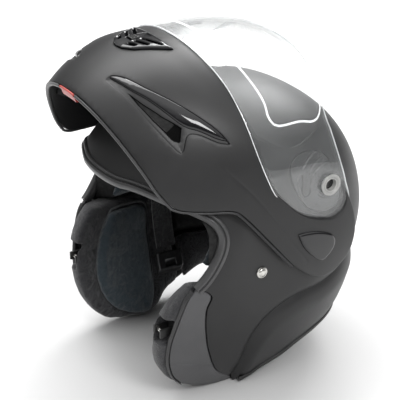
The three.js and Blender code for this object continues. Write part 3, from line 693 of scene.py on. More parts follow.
# ---- Changing and finishing pieces -------------------------------------------------------------------
def coordinates(piece):
    flat = np.empty(3 * len(piece.data.vertices))
    piece.data.vertices.foreach_get("co", flat)
    return flat.reshape(-1, 3)


def store(piece, points):
    piece.data.vertices.foreach_set("co", points.ravel())
    piece.data.update()


def above_floor(piece):
    store(piece, np.maximum(coordinates(piece), [-1, -1, 0]))


def mirrored(piece):
    """Turns a left-hand piece into its right-hand twin."""
    piece.data.transform(Matrix.Diagonal((-1, 1, 1, 1)))
    piece.data.flip_normals()


def repaint(piece, look, chosen):
    """Gives the chosen faces a second material."""
    piece.data.materials.append(look[0])
    piece.data.polygons.foreach_set("material_index", chosen.astype(np.int32))


RAISE = (Matrix.Translation(Vector((0, HINGE_Y, HINGE_Z)) * MM) @ Matrix.Rotation(-RAISED, 4, "X")
         @ Matrix.Translation(Vector((0, -HINGE_Y, -HINGE_Z)) * MM))


def finished(piece, look, body, *nodes):
    """Gives a piece its place, material and body, and the CAD nodes it stands for."""
    material, slot = look
    if body != "shell":
        piece.data.transform(RAISE)
        piece.data.update()
    piece.data.materials.clear()
    piece.data.materials.append(material)
    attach(piece, body)
    if nodes:
        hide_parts(*nodes)
    return piece


def finished_pair(left, look, body, *nodes, both=False, fill=None):
    """Finishes a left-hand piece and its right-hand twin; body and nodes name the left one's.

    With both, the twin is given the left-hand nodes besides its own. fill is not used.
    """
    right = linked(left.name.replace("left", "right"), left.data.copy())
    mirrored(right)
    finished(left, look, body, *nodes)
    finished(right, look, body.replace("left", "right"), *(nodes if both else ()),
             *(node.replace("left", "right") for node in nodes))


# ---- Materials -----------------------------------------------------------------------------------
class Shader:
    """A material with short ways to add nodes."""

    def __init__(self, name):
        self.material = bpy.data.materials.new(name)
        self.material.use_nodes = True
        self.tree = self.material.node_tree
        self.bsdf = self.tree.nodes["Principled BSDF"]
        self.place = self.add("ShaderNodeTexCoord").outputs["Object"]

    def add(self, kind, inputs=None, **settings):
        node = self.tree.nodes.new(kind)
        for key, value in settings.items():
            setattr(node, key, value)
        for key, value in (inputs or {}).items():
            self.put(node.inputs[key], value)
        return node

    def put(self, socket, value):
        if isinstance(value, bpy.types.NodeSocket):
            self.tree.links.new(value, socket)
        else:
            socket.default_value = value

    def set(self, **values):
        for key, value in values.items():
            self.put(self.bsdf.inputs[key.replace("_", " ")], value)

    def noise(self, scale, detail=3.0, roughness=0.5, output="Fac"):
        node = self.add("ShaderNodeTexNoise", {"Vector": self.place, "Scale": scale, "Detail": detail,
                                               "Roughness": roughness})
        return node.outputs[output]

    def streaks(self, stretch, detail):
        """Noise drawn out along the axis with the smallest scale."""
        stretched = self.add("ShaderNodeMapping", {"Vector": self.place, "Scale": stretch}).outputs[0]
        node = self.add("ShaderNodeTexNoise", {"Vector": stretched, "Scale": 1.0, "Detail": detail})
        return node.outputs["Fac"]

    def calc(self, operation, a, b=0.0):
        node = self.add("ShaderNodeMath", {0: a, 1: b}, operation=operation)
        return node.outputs[0]

    def ranged(self, value, low, high, to_low=0.0, to_high=1.0):
        node = self.add("ShaderNodeMapRange", {"Value": value, "From Min": low, "From Max": high,
                                               "To Min": to_low, "To Max": to_high})
        return node.outputs["Result"]

    def blend(self, factor, a, b):
        return self.add("ShaderNodeMix", {0: factor, 6: a, 7: b}, data_type="RGBA").outputs[2]

    def mixed(self, factor, first, second):
        """A mix of two surfaces."""
        return self.add("ShaderNodeMixShader", {0: factor, 1: first, 2: second}).outputs[0]

    def bump(self, height, distance, strength=1.0):
        node = self.add("ShaderNodeBump", {"Height": height, "Distance": distance, "Strength": strength})
        return node.outputs["Normal"]

    def surface(self, socket):
        self.put(self.tree.nodes["Material Output"].inputs["Surface"], socket)


def shade(colour, factor):
    return (*(min(1.0, channel * factor) for channel in colour), 1.0)


def moulded(name, colour, roughness, grain=900.0, depth=0.00004, mottle=0.15, wear=0.35, specular=0.5):
    """Painted or moulded plastic: a fine grain, uneven roughness and paler rubbed edges."""
    s = Shader(name)
    broad = s.noise(22.0, 4.0, 0.6)
    fine = s.noise(grain, 2.0)
    base = s.blend(s.ranged(broad, 0.3, 0.7), shade(colour, 1 - mottle), shade(colour, 1 + mottle))
    convex = s.ranged(s.add("ShaderNodeNewGeometry").outputs["Pointiness"], 0.52, 0.60)
    rubbed = s.calc("MULTIPLY", convex, s.ranged(s.noise(140.0), 0.4, 0.7, 0.0, wear))
    base = s.blend(rubbed, base, shade(colour, 2.6))
    rough = s.calc("ADD", s.ranged(broad, 0.2, 0.8, roughness - 0.05, roughness + 0.05),
                   s.ranged(fine, 0.3, 0.7, -0.03, 0.03))
    s.set(Base_Color=base, Roughness=rough, Normal=s.bump(fine, depth), Specular_IOR_Level=specular)
    return s.material


def gloss(name, colour, roughness):
    """Polished black plastic with hairline scratches and a trace of dust."""
    s = Shader(name)
    dust = s.ranged(s.noise(260.0, 5.0, 0.7), 0.64, 0.8, 0.0, 0.05)
    s.set(Base_Color=s.blend(dust, shade(colour, 1.0), (0.25, 0.25, 0.24, 1.0)),
          Roughness=s.ranged(s.streaks((900.0, 60.0, 120.0), 2.0), 0.3, 0.75, roughness, roughness + 0.07),
          Coat_Weight=0.25, Coat_Roughness=0.03, Normal=s.bump(s.noise(18.0, 1.0), 0.0002, 0.3))
    return s.material


def woven(name, colour, pitch, depth, gaps=0.5):
    """Cloth with a thread pattern laid over whichever way the surface faces; gaps is their shade."""
    s = Shader(name)
    wobble = s.add("ShaderNodeVectorMath", {
        0: s.place, 1: s.noise(60.0, 2.0, 0.5, "Color"), 2: (pitch * 0.5,) * 3}, operation="MULTIPLY_ADD")
    scaled = s.add("ShaderNodeVectorMath", {0: wobble.outputs[0], "Scale": 2 * math.pi / pitch},
                   operation="SCALE")
    axes = s.add("ShaderNodeSeparateXYZ", {0: scaled.outputs[0]}).outputs
    waves = [s.calc("SINE", axis) for axis in axes]
    normal = s.add("ShaderNodeNewGeometry").outputs["Normal"]
    facing = s.add("ShaderNodeSeparateXYZ", {0: normal}).outputs
    total = 0.0
    for along, (first, second) in enumerate(((1, 2), (0, 2), (0, 1))):
        share = s.calc("POWER", s.calc("ABSOLUTE", facing[along]), 2.0)
        pattern = s.calc("MULTIPLY", waves[first], waves[second])
        total = s.calc("ADD", total, s.calc("MULTIPLY", pattern, share))
    thread = s.ranged(total, -0.6, 0.6)
    lint = s.noise(2500.0, 2.0)
    base = s.blend(s.ranged(thread, 0.25, 0.6), shade(colour, gaps), shade(colour, 1.15))
    base = s.blend(s.ranged(s.noise(35.0, 4.0, 0.6), 0.3, 0.7, 0.0, 0.35), base, shade(colour, 0.7))
    base = s.blend(s.ranged(lint, 0.6, 0.8, 0.0, 0.3), base, shade(colour, 1.9))
    height = s.calc("ADD", thread, s.calc("MULTIPLY", lint, 0.3))
    s.set(Base_Color=base, Roughness=0.95, Sheen_Weight=0.4, Sheen_Roughness=0.5, Specular_IOR_Level=0.25,
          Normal=s.bump(height, depth))
    return s.material


def brushed_metal(name, colour, roughness):
    s = Shader(name)
    lines = s.streaks((300.0, 2500.0, 300.0), 3.0)
    s.set(Base_Color=s.blend(s.ranged(s.noise(300.0), 0.4, 0.7), shade(colour, 0.85), shade(colour, 1.1)),
          Metallic=1.0, Roughness=s.ranged(lines, 0.3, 0.7, roughness - 0.06, roughness + 0.08),
          Normal=s.bump(lines, 0.00001))
    return s.material


def beaded_foam(name, colour):
    """Moulded polystyrene: beads pressed together."""
    s = Shader(name)
    beads = s.add("ShaderNodeTexVoronoi", {"Vector": s.place, "Scale": 260.0}).outputs["Distance"]
    s.set(Base_Color=s.blend(s.ranged(beads, 0.2, 0.7), shade(colour, 1.2), shade(colour, 0.5)),
          Roughness=0.9, Normal=s.bump(beads, -0.0004))
    return s.material


def clear_shield(name):
    """A clear visor: mirror-like at a slant, with a faint haze and hairline scratches."""
    s = Shader(name)
    haze = s.ranged(s.noise(30.0, 4.0), 0.3, 0.8, 0.02, 0.05)
    scratches = s.ranged(s.noise(500.0, 4.0, 0.7), 0.66, 0.75, 0.0, 0.04)
    back = s.add("ShaderNodeNewGeometry").outputs["Backfacing"]
    mirror = s.add("ShaderNodeFresnel", {"IOR": s.ranged(back, 0.0, 1.0, 1.6, 1 / 1.6)}).outputs[0]
    clear = s.add("ShaderNodeBsdfTransparent", {"Color": (0.985, 0.99, 0.99, 1.0)}).outputs[0]
    s.set(Base_Color=(0.85, 0.87, 0.88, 1.0), Roughness=0.3)
    hazed = s.mixed(s.calc("ADD", haze, scratches), clear, s.bsdf.outputs[0])
    gleam = s.add("ShaderNodeBsdfAnisotropic", {"Color": (1.0, 1.0, 1.0, 1.0), "Roughness": 0.05})
    s.surface(s.mixed(mirror, hazed, gleam.outputs[0]))
    return s.material


def cut_edge_painted_glow(name, colour):
    """The frosted edges and bevels of the visor, with a painted glow that stands in for the light they
    gather.
    """
    s = Shader(name)
    clear = s.add("ShaderNodeBsdfTransparent", {"Color": (0.96, 0.97, 0.98, 1.0)}).outputs[0]
    # The emission is painted light: a glow in place of light caught by the cut edges.
    s.set(Base_Color=colour, Roughness=0.25, Emission_Color=colour,
          Emission_Strength=s.ranged(s.noise(40.0), 0.3, 0.7, 0.25, 0.45))
    s.surface(s.mixed(s.ranged(s.noise(90.0), 0.3, 0.7, 0.55, 0.8), clear, s.bsdf.outputs[0]))
    return s.material


# Looks: a material and the slot that it fills.
SHELL_BLACK = moulded("satin_shell_paint", (0.014, 0.014, 0.0145), 0.44, grain=1400.0, depth=0.00003,
                      wear=0.1, specular=0.42), "shell_black"
JAW_GREY = moulded("satin_grey_paint", (0.07, 0.07, 0.073), 0.45, grain=1400.0, depth=0.00003,
                   wear=0.1), "jaw_grey"
GLOSS_BLACK = gloss("polished_black_plastic", (0.004, 0.004, 0.005), 0.06), "gloss_black"
BLACK_PLASTIC = moulded("grained_black_plastic", (0.012, 0.012, 0.012), 0.5, 700.0, 0.00012), "black_plastic"
MECHANISM_GREY = moulded("grey_mechanism_plastic", (0.035, 0.035, 0.036), 0.3, 800.0,
                         0.00005), "mechanism_grey"
PALE_PLASTIC = moulded("pale_ring_plastic", (0.34, 0.34, 0.33), 0.25, 800.0, 0.00005), "mechanism_grey"
EDGING_GREY = moulded("grey_edging", (0.03, 0.03, 0.031), 0.35), "edging_grey"
# Vent mouths: black mesh, painted darker and duller still as painted shade that stands in for the depth of
# the opening.
MOUTH_SHADE_BLACK = moulded("black_vent_mesh_painted_shade", (0.003, 0.003, 0.003), 0.85, grain=500.0, depth=0.0003, wear=0.0,
                      specular=0.06), "shell_black"
GREY_RUBBER = moulded("grey_rubber", (0.05, 0.05, 0.051), 0.32, 1100.0, 0.00006, mottle=0.2,
                      wear=0.3), "rubber"
RUBBER = moulded("black_rubber", (0.012, 0.012, 0.012), 0.5, 1100.0, 0.00008, mottle=0.3, wear=0.3), "rubber"
FOAM = beaded_foam("black_beaded_foam", (0.012, 0.012, 0.012)), "foam"
MESH = woven("open_mesh_fabric", (0.042, 0.042, 0.046), 0.0026, 0.00025, gaps=0.12), "mesh_fabric"
CLOTH = woven("blue_grey_cloth", (0.030, 0.045, 0.056), 0.0011, 0.0002), "soft_cloth"
PIPING = woven("grey_piping", (0.075, 0.08, 0.085), 0.0009, 0.0002), "soft_cloth"
WEBBING = woven("strap_webbing", (0.012, 0.012, 0.014), 0.0018, 0.0003), "webbing"
STEEL = brushed_metal("brushed_steel", (0.62, 0.61, 0.58), 0.22), "steel"
DARK_STEEL = brushed_metal("blackened_steel", (0.07, 0.07, 0.072), 0.35), "steel"
RED = moulded("red_lever_plastic", (0.42, 0.06, 0.05), 0.3, depth=0.00005), "red"
CLEAR = clear_shield("clear_visor"), "clear"
# Frosted visor edges with a painted glow.
CLEAR_EDGE_GLOW = cut_edge_painted_glow("visor_edge_painted_glow", (0.93, 0.95, 0.96, 1.0)), "clear"


# ---- Shell and chin bar ---------------------------------------------------------------------------
def flare_shape(d):
    """From the crease the surface dips, then swells out to the lip."""
    rise = 6.0 * smoothstep((d + 1) / 15)
    dip = -1.6 * np.clip(1 - np.abs(d - 1.5) / 3.5, 0, 1)**1.2
    return rise + dip


def flare_limit(d):
    return 117 + 20 * smoothstep((d + 2) / 12)


def outer_shell():
    edge = joined(side_line(PORT_EDGE, SHELL_FACE), side_line(JAW_SPLIT, SHELL_FACE),
                  side_line(REAR_RIM, rounded(6.0)))
    crease = over_middle(side_line(FLARE_CREASE, SHELL_FACE))
    flare = Feature(crease, flare_shape, [-1.0, 0.5, 1.5, 3.0, 5.0, 8.0, 11.0, 14.0],
                    toward=spot(120, -60, 60), limit=flare_limit)
    shell = plate("shell_skin", TOP, both_sides(edge), SHELL_BACK, SHELL_FACE, features=[flare], edge=1.2,
                  density=1.6)
    above_floor(shell)
    finished(shell, SHELL_BLACK, "shell", "outer_shell")


def jaw_plates():
    edge = joined(side_line(JAW_EDGE, JAW_FACE), side_line(JAW_FOOT, JAW_FACE, curved=False),
                  side_line(shifted(JAW_SPLIT, -0.5)[::-1], JAW_FACE, curved=False))
    step = groove(side_line([(110, 44), (98, 44), (84, 42), (60, 34)], JAW_FACE), 0.35, 1.6)
    left = plate("jaw_plate_skin_left", LEFT_FRONT, edge, SHELL_BACK, JAW_FACE, features=[step], edge=1.1,
                 density=2.0)
    finished_pair(left, JAW_GREY, "shell", "jaw_plate_left", both=True)


def pocket_limit(d):
    """The chin bar's sides step in to the flat sides of the visor's field."""
    return 140 - (140 - POCKET[1]) * smoothstep((d + 0.3) / 2.0)


def chin_bar():
    field = joined(side_line(shifted(VISOR_LOWER, 2.5), CHIN_FACE, curved=False),
                   side_line(shifted([*VISOR_END, (20, 206)], 3.0), CHIN_FACE, curved=False))
    scoop = front_loop([*spline(BLADE_TOP), *spline(SCOOP_BOTTOM)[1:-1]], CHIN_FACE)
    mouth = front_loop(SCOOP_MOUTH, CHIN_FACE)
    crease = side_line(CHIN_CREASE, CHIN_FACE)
    fields = [recess(over_middle(field), CHIN_FACE[0] - POCKET[0], wall=1.6, toward=spot(118, 30, 170),
                     limit=pocket_limit),
              recess(front_loop(VENT_OUTLINE, CHIN_FACE), 1.7)]
    for side in SIDES:
        fields += [recess(scoop * side, 1.3, wall=0.9), recess(mouth * side, 2.2, wall=0.9)]
    fields += [groove(crease * side, 0.5, 2.5) for side in SIDES]
    edge = joined(side_line(shifted(CHIN_LOWER, 0.0), CHIN_FACE, curved=False),
                  *(side_line(part, CHIN_FACE) for part in (CHIN_LOBE, CHIN_TOP, CHIN_PORT)))
    skin = plate("chin_bar_skin", FRONT, both_sides(edge), CHIN_BACK, CHIN_FACE,
                 holes=[side_loop(MECHANISM, POCKET) * side for side in SIDES], features=fields, edge=1.3,
                 density=2.0)
    middles = FRONT.flat(np.array([face.center for face in skin.data.polygons]) / MM)
    # The faces inside the scoop's mouth get the near-black material with its painted shade.
    shaded_mouth = np.any([inside(middles, FRONT.flat(mouth * side)) for side in SIDES], axis=0)
    finished(skin, SHELL_BLACK, "chin_bar_body", "chin_bar")
    repaint(skin, MOUTH_SHADE_BLACK, shaded_mouth)


def visor():
    loop = both_sides(joined(*(side_line(part, VISOR_FACE) for part in (VISOR_LOWER, VISOR_END, VISOR_TOP))))
    hub = side_to_layer(arc(VISOR_PIVOT, HUB_HOLE, 0, 360, 24), VISOR_FACE)
    window = recess(both_sides(side_line(VISOR_WINDOW, VISOR_FACE)), -0.7, wall=1.5)
    shield = plate("visor_shield", FRONT, loop, VISOR_BACK, VISOR_FACE, holes=[hub * side for side in SIDES],
                   features=[window], edge=0.7, density=1.6)
    middles = np.array([face.center for face in shield.data.polygons]) / MM
    facing = np.array([face.normal for face in shield.data.polygons])
    lean = np.abs((facing * layer_normals(middles, VISOR_FACE)).sum(1))
    finished(shield, CLEAR, "visor_body", "visor")
    # Edges and bevels get the frosted material with its painted glow.
    repaint(shield, CLEAR_EDGE_GLOW, lean < 0.96)


# ---- Trims ---------------------------------------------------------------------------------------
def trims():
    line = side_line(PORT_EDGE, SHELL_FACE, 2.5)
    trim = bead("port_edge_trim", over_middle(line), PORT_SECTION, spot(0, -60, 210), SHELL_FACE)
    finished(trim, GREY_RUBBER, "shell", "port_trim")

    line = side_line(JAW_EDGE, JAW_FACE, 2.0)[2:]
    left = bead("jaw_edge_left", line, JAW_SECTION, spot(110, 40, 70), JAW_FACE)
    finished_pair(left, EDGING_GREY, "shell", "jaw_edging_left", both=True)

    line = side_line(REAR_RIM, rounded(0.0))
    trim = bead("rim_edge_trim", over_middle(line[::-1]), RIM_SECTION, spot(0, -60, 210), rounded(0.0))
    above_floor(trim)
    finished(trim, RUBBER, "shell", "rim_trim")

    line = side_line(CHIN_LOWER[:-1], CHIN_FACE, 2.5)
    line = line[np.abs(line[:, 0]) > 13.6]
    left = bead("chin_edge_left", line, CHIN_SECTION, spot(0, 120, 120), CHIN_FACE, sharp=35)
    finished_pair(left, EDGING_GREY, "chin_bar_body", "chin_trim_left")

    line = side_line(CHIN_PORT, POCKET, 2.5)
    seal = bead("port_seal_lip", over_middle(line[::-1]), SEAL_SECTION, spot(0, 180, 120), POCKET)
    finished(seal, RUBBER, "chin_bar_body", "port_seal")

    line = side_line(CHIN_LOWER, CHIN_FACE, 1.0)
    line = line[np.abs(line[:, 0]) < 13.0]
    lever = bead("chin_release_lever", over_middle(line), LEVER_SECTION, spot(0, 120, 120), CHIN_FACE)
    finished(lever, RED, "latch_lever_body", "latch_lever")


# ---- Vents and hinge covers --------------------------------------------------------------------------
def vents():
    fields = [recess(front_loop(VENT_RAIL, VENT_FACE), 1.2, wall=0.5)]
    for side in SIDES:
        for slot in VENT_SLOTS:
            ring = resampled(spline([*slot, slot[0]], 6), 1.0)[:-1]
            fields.append(recess(front_loop(ring, VENT_FACE, 1.0) * side, 4.4, wall=0.7, lip=0.9))
    vent = plate("chin_vent_cover", FRONT, front_loop(VENT_OUTLINE, VENT_FACE, 1.5), rounded(5.95),
                 rounded(10.0), features=fields, edge=2.4, density=8.0,
                 swell=lambda gap: 0.6 * smoothstep(gap / 8))
    finished(vent, GLOSS_BLACK, "chin_bar_body", "chin_vent")
    grips = [groove(front_line([(-3.6, z), (3.6, z)], KNOB_FACE), 0.7, 0.6) for z in (102.4, 104.0, 105.6)]
    knob = plate("vent_slider_knob", FRONT, front_loop(VENT_KNOB, KNOB_FACE), rounded(9.7), KNOB_FACE,
                 features=grips, edge=0.9, density=12.0)
    finished(knob, (BLACK_PLASTIC[0], "gloss_black"), "vent_slider_body", "vent_slider")
    shape = inset([*spline(BLADE_TOP)[:-1], *spline(BLADE_BOTTOM)[:-1]], 0.5)
    for side, name in zip(SIDES, ("left", "right")):
        blade = plate(f"side_vent_cover_{name}", FRONT, front_loop(shape, rounded(8.6), 1.5) * side,
                      rounded(5.8), rounded(8.0), edge=2.4, density=8.0,
                      swell=lambda gap: smoothstep(gap / 9))
        finished(blade, GLOSS_BLACK, "chin_bar_body", f"side_vent_blade_{name}")
    cap = plate("hinge_cover_left", LEFT, side_loop(CAP_OUTLINE, VENT_FACE), rounded(CHIN_FACE[0] + 0.35),
                rounded(9.8), edge=2.2, density=7.0)
    finished_pair(cap, GLOSS_BLACK, "chin_bar_body", "hinge_cap_left", both=True)


# ---- Visor mechanism and rivets ----------------------------------------------------------------------
def mechanism():
    fields = [groove(side_to_layer(arc(VISOR_PIVOT, radius, start, end), POCKET), 1.0, 1.4)
              for radius, start, end in ((20, -60, 75), (26, -50, 60), (34, -30, 35), (13, 100, 250))]
    seat = side_to_layer(arc(VISOR_PIVOT, 11.5, 0, 360, 48), POCKET)
    sweep = [*arc((28, 152), 5.2, 90, 250, 10), *arc((41, 152), 5.0, -60, 80, 8)]
    slot = side_to_layer(resampled([*sweep, sweep[0]], 1.5), POCKET)[:-1]
    fields += [recess(seat, 0.6, wall=0.6, lip=0.4), recess(slot, 1.3, wall=0.6, lip=0.4)]
    ring = side_loop(inset(spline([*MECHANISM, MECHANISM[0]])[:-1], 0.4), POCKET)
    cover = plate("mechanism_cover_left", LEFT, ring, CHIN_BACK, POCKET, features=fields, density=6.0)
    finished_pair(cover, MECHANISM_GREY, "chin_bar_body", "mechanism_plate_left", both=True)
    lever = slab("quick_release_left", capsule((28, 152), (43, 157), 4, 3), 121.2, 122.5, 0.8)
    finished_pair(lever, BLACK_PLASTIC, "quick_lever_left_body", "quick_lever_left")
    hub = turned("visor_pivot_ring_left", VISOR_PIVOT, HUB_RING, ring=True)
    finished_pair(hub, PALE_PLASTIC, "chin_bar_body", "visor_hub_left")
    finished_pair(turned("strap_rivet_head_left", (24, 129), RIVET, 32), STEEL, "shell", "strap_rivet_left")


# ---- Lining --------------------------------------------------------------------------------------
FRAMES = 20
PRESSURE = 4.0


def freeze(piece):
    """Replaces a piece's mesh by its evaluated one and drops its modifiers."""
    graph = bpy.context.evaluated_depsgraph_get()
    mesh = bpy.data.meshes.new_from_object(piece.evaluated_get(graph))
    piece.modifiers.clear()
    piece.data = mesh


def inflated(piece, voxel, cap):
    """Swells a closed pad with a short cloth simulation, by about cap millimetres at most."""
    scene = bpy.context.scene
    bpy.context.view_layer.objects.active = piece
    remesh = piece.modifiers.new("remesh", "REMESH")
    remesh.mode = "VOXEL"
    remesh.voxel_size = voxel * MM
    remesh.use_smooth_shade = True
    freeze(piece)
    before = coordinates(piece)
    cloth = piece.modifiers.new("cloth", "CLOTH")
    cloth.settings.use_pressure = True
    cloth.settings.uniform_pressure_force = PRESSURE
    cloth.settings.effector_weights.gravity = 0.0
    cloth.settings.quality = 6
    for frame_number in range(1, FRAMES + 1):
        scene.frame_set(frame_number)
    freeze(piece)
    scene.frame_set(1)
    move = coordinates(piece) - before
    length = np.linalg.norm(move, axis=1, keepdims=True)
    limited = cap * MM * np.tanh(length / (cap * MM)) / np.maximum(length, 1e-9)
    store(piece, before + move * limited)
    piece.modifiers.new("smooth", "SMOOTH").iterations = 6
    subdivision = piece.modifiers.new("subdivision", "SUBSURF")
    subdivision.levels = subdivision.render_levels = 1
    freeze(piece)
    piece.data.shade_smooth()
    return piece


def press_seam(piece, line, depth, half_width):
    """Draws a pad's surface in along a sewn line."""
    points = coordinates(piece) / MM
    normals = np.empty(3 * len(points))
    piece.data.vertices.foreach_get("normal", normals)
    best = np.full(len(points), np.inf)
    for a, b in zip(line[:-1], line[1:]):
        along = b - a
        t = np.clip((points - a) @ along / (along @ along), 0, 1)
        best = np.minimum(best, np.linalg.norm(points - a - t[:, None] * along, axis=1))
    pull = depth * np.clip(1 - best / half_width, 0, 1)**1.5
    store(piece, (points - normals.reshape(-1, 3) * pull[:, None]) * MM)


def press_pocket(piece, across, height, forward):
    """Pushes a pad's front back to this distance forward, over a range of |x| and of height."""
    points = coordinates(piece) / MM
    ramp = 2.0
    share = np.ones(len(points))
    for value, (low, high) in ((points[:, 0], across), (points[:, 2], height)):
        share *= smoothstep(np.minimum(value - low, high - value) / ramp)
    points[:, 1] += share * np.maximum(SHIFT - points[:, 1] - forward, 0)
    store(piece, points * MM)


def side_pad(name, outline, back, face, edge, voxel, cap):
    """A left-hand pad on the inside of the shell, crowned towards the head."""
    pad = plate(name, LEFT, side_loop(outline, face, 3.0), back, face, edge=edge, density=2.0, upright=True)
    return inflated(pad, voxel, cap)


def side_pads():
    pad = side_pad("cheek_cushion_left", CHEEK_PAD, (-4.9, 112.2), in_shell(24.5), 6.0, 3.0, 1.5)
    press_pocket(pad, (77, 98), (67, 94), 92)
    finished_pair(pad, MESH, "shell", "cheek_pad_left", fill=0.8)
    cover = side_pad("cheek_cover_left", CHEEK_COVER, (-26.6, 90.2), in_shell(35.4), 4.5, 2.5, 2.5)
    press_seam(cover, side_line(CHEEK_SEAM, in_shell(35.0)), 1.2, 4.0)
    finished_pair(cover, CLOTH, "shell", "cheek_face_left", fill=0.7)
    welt = bead("cheek_welt_left", side_loop(CHEEK_COVER, in_shell(27.0), 3.0), arc((0, 0), 1.0, 0, 360, 10),
                CENTRE, in_shell(27.0), closed=True, sharp=180)
    finished_pair(welt, PIPING, "shell")
    pad = side_pad("temple_cushion_left", TEMPLE_PAD, in_shell(27.0), (-34.0, 83.5), 4.0, 3.0, 2.0)
    press_seam(pad, side_line([(30, 166), (32, 130)], (-34.0, 83.5)), 1.0, 4.0)
    finished_pair(pad, CLOTH, "shell", "temple_pad_left", fill=0.7)


def lining():
    rim = joined(side_line(FOAM_EDGE, FOAM_FACE),
                 side_line([(58, 127.5), (-8, 127.5), (-8, 78), (-150, 78)], FOAM_FACE, curved=False))
    foam = plate("foam_shell", TOP, both_sides(rim), in_shell(4.6), in_shell(25.5), edge=3.5)
    finished(foam, FOAM, "shell", "foam_liner")

    rim = joined(side_line(CROWN_EDGE, CLOTH_FACE),
                 side_line([(52, 171), (-36, 171), (-36, 96), (-150, 96)], CLOTH_FACE, curved=False))
    seam = side_line(CROWN_SEAM, CLOTH_FACE)
    seams = [groove(seam * side, 3.0, 7, 1.6, (-1, -4 / 7, -2 / 7, 0, 2 / 7, 4 / 7, 1)) for side in SIDES]
    crown = plate("crown_lining", TOP, both_sides(rim), in_shell(26.6), CLOTH_FACE, features=seams, edge=5.5,
                  density=1.6)
    finished(crown, CLOTH, "shell", "crown_liner")

    loop = both_sides(joined(side_line(BROW_FRONT, CLOTH_FACE), side_line(BROW_BACK, CLOTH_FACE)))
    brow = plate("brow_cushion", BROW, loop, (-26.8, 90.0), in_shell(33.5), edge=4.0, density=2.5)
    finished(inflated(brow, 2.5, 1.5), MESH, "shell", "brow_pad")

    top = side_line([(-10, 74), (-150, 74)], FOAM_FACE, curved=False)
    low = side_line([(-10, 38), (-34, 48), (-60, 54), (-150, 57)], FOAM_FACE)
    roll = plate("neck_cushion", NECK, both_sides(joined(low[::-1], top)), in_shell(5.5), FOAM_FACE, edge=9.0,
                 density=2.0)
    finished(inflated(roll, 4.0, 2.0), MESH, "shell", "neck_roll")

    parts = ([(200, 36), (160, 40), (121, 45)], [(121, 45), (116, 60), (119, 95), (125, 124)],
             [(125, 124), (160, 127), (200, 129)])
    loop = both_sides(joined(*(side_line(part, rounded(3.8)) for part in parts)))
    loop[:, 0] = np.clip(loop[:, 0], -75.0, 75.0)
    pad = plate("chin_cushion", FRONT, loop, rounded(3.3), rounded(-10.5), edge=5.0, density=2.0)
    finished(inflated(pad, 4.0, 2.0), FOAM, "chin_bar_body", "chin_pad")


# ---- Straps --------------------------------------------------------------------------------------
def straps():
    middle, half, thick, bevel = 13.0, 10.6, 0.9, 0.25
    quarter = [(half - 1, thick + bevel), (half, thick)]
    section = np.array([*((-u, -v) for u, v in quarter[::-1]), *((u, -v) for u, v in quarter), *quarter[::-1],
                        *((-u, v) for u, v in quarter)])
    hang = side_to_layer([(middle, height) for height in np.linspace(119, 69, 26)], STRAP)
    bend = [(110, 125.2), (100, 125.2), (92, 125.2), (86.5, 124.6), (83.4, 122.6)]
    path = np.vstack([[spot(x, middle, height) for x, height in bend], hang])
    out = np.cross(tangents(path), [0, 1, 0])
    rings = path[:, None] + section[None, :, :1] * [0, 1, 0] + section[None, :, 1:] * out[:, None]
    finished_pair(swept("strap_left", rings), WEBBING, "shell", "chin_strap_left", both=True)
    for name, length, look in (("socket", 25.5, BLACK_PLASTIC), ("tongue", 17.5, DARK_STEEL)):
        outline = spline([(0.4, 67.5), (25.6, 67.5), (25.8, 67.3), (26, 56), (24, 68 - length),
                          (13, 67.6 - length), (2, 68 - length), (0, 56), (0.2, 67.3), (0.4, 67.5)], 5)
        press = side_to_layer([(7, 60), (19, 60), (19, 53), (7, 53)], BUCKLE)
        piece = plate(f"buckle_{name}_body", THROAT, side_to_layer(outline, BUCKLE)[:-1], (-38.2, 80.8),
                      (-43.8, 75.2), features=[recess(press, 0.8, wall=0.5)], edge=1.4, density=9.0)
        if name == "tongue":
            mirrored(piece)
        finished(piece, look, "shell", f"buckle_{name}")


def kept_nodes():
    """The small hardware keeps its CAD shape and gets its material."""
    for name, look in (("striker_bracket", BLACK_PLASTIC), ("striker_pin", STEEL),
                       ("hinge_base", BLACK_PLASTIC), ("hinge_pin", STEEL), ("latch_fork", STEEL)):
        for side in ("left", "right"):
            node = frame["nodes"][f"{name}_{side}"]
            node.data.materials.clear()
            node.data.materials.append(look[0])


# ---- Floor, light and camera ------------------------------------------------------------------------
FLOOR_SIZE = 60.0
SKY = {"From Min": 0.3, "From Max": 0.9, "To Min": 0.16, "To Max": 1.5}
LIGHTS = {"top": ((-0.9, -0.15, 2.1), 1.5, 34.0), "side": ((1.45, 0.0, 1.25), 0.6, 15.0),
          "back": ((-0.9, 1.2, 1.5), 1.1, 30.0)}


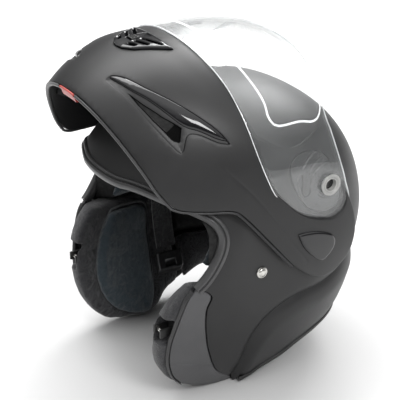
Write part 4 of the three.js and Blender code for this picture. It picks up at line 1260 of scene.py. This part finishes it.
def facing_back(place, target):
    return (place - target).to_track_quat("Z", "Y").to_euler()


def stage():
    centre, target = Vector((0, SHIFT, CENTRE[2])) * MM, Vector((-5.1, -4.6, 148.0)) * MM
    azimuth, elevation, distance = math.radians(58), math.radians(25), 1.364
    camera = linked("camera", bpy.data.cameras.new("camera"))
    camera.data.lens = 129.3
    camera.location = centre + distance * Vector((math.sin(azimuth) * math.cos(elevation),
                                                  -math.cos(azimuth) * math.cos(elevation),
                                                  math.sin(elevation)))
    camera.rotation_euler = facing_back(camera.location, target)
    bpy.context.scene.camera = camera

    mesh = bpy.data.meshes.new("floor")
    corners = [(x * FLOOR_SIZE, y * FLOOR_SIZE, 0) for x, y in ((-1, -1), (1, -1), (1, 1), (-1, 1))]
    mesh.from_pydata(corners, [], [(0, 1, 2, 3)])
    floor = linked("floor", mesh)
    paper = Shader("pale_floor")
    paper.set(Base_Color=paper.blend(paper.noise(3.0), (0.60, 0.60, 0.60, 1), (0.62, 0.62, 0.62, 1)),
              Roughness=0.9)
    mesh.materials.append(paper.material)

    world = bpy.data.worlds.new("studio")
    world.use_nodes = True
    nodes, links = world.node_tree.nodes, world.node_tree.links
    direction = nodes.new("ShaderNodeSeparateXYZ")
    links.new(nodes.new("ShaderNodeTexCoord").outputs["Generated"], direction.inputs[0])
    height = nodes.new("ShaderNodeMapRange")
    for socket, value in SKY.items():
        height.inputs[socket].default_value = value
    links.new(direction.outputs["Z"], height.inputs["Value"])
    links.new(height.outputs["Result"], nodes["Background"].inputs["Strength"])
    nodes["Background"].inputs["Color"].default_value = (1.0, 1.0, 1.0, 1.0)
    bpy.context.scene.world = world
    bpy.context.scene.view_settings.view_transform = "Standard"
    for name, (place, size, power) in LIGHTS.items():
        lamp = linked(name, bpy.data.lights.new(name, "AREA"))
        lamp.data.size, lamp.data.energy = size, power
        lamp.location = place
        lamp.rotation_euler = facing_back(lamp.location, centre)


for build in (outer_shell, jaw_plates, chin_bar, visor, trims, vents, mechanism, side_pads, lining, straps,
              kept_nodes, stage):
    build()
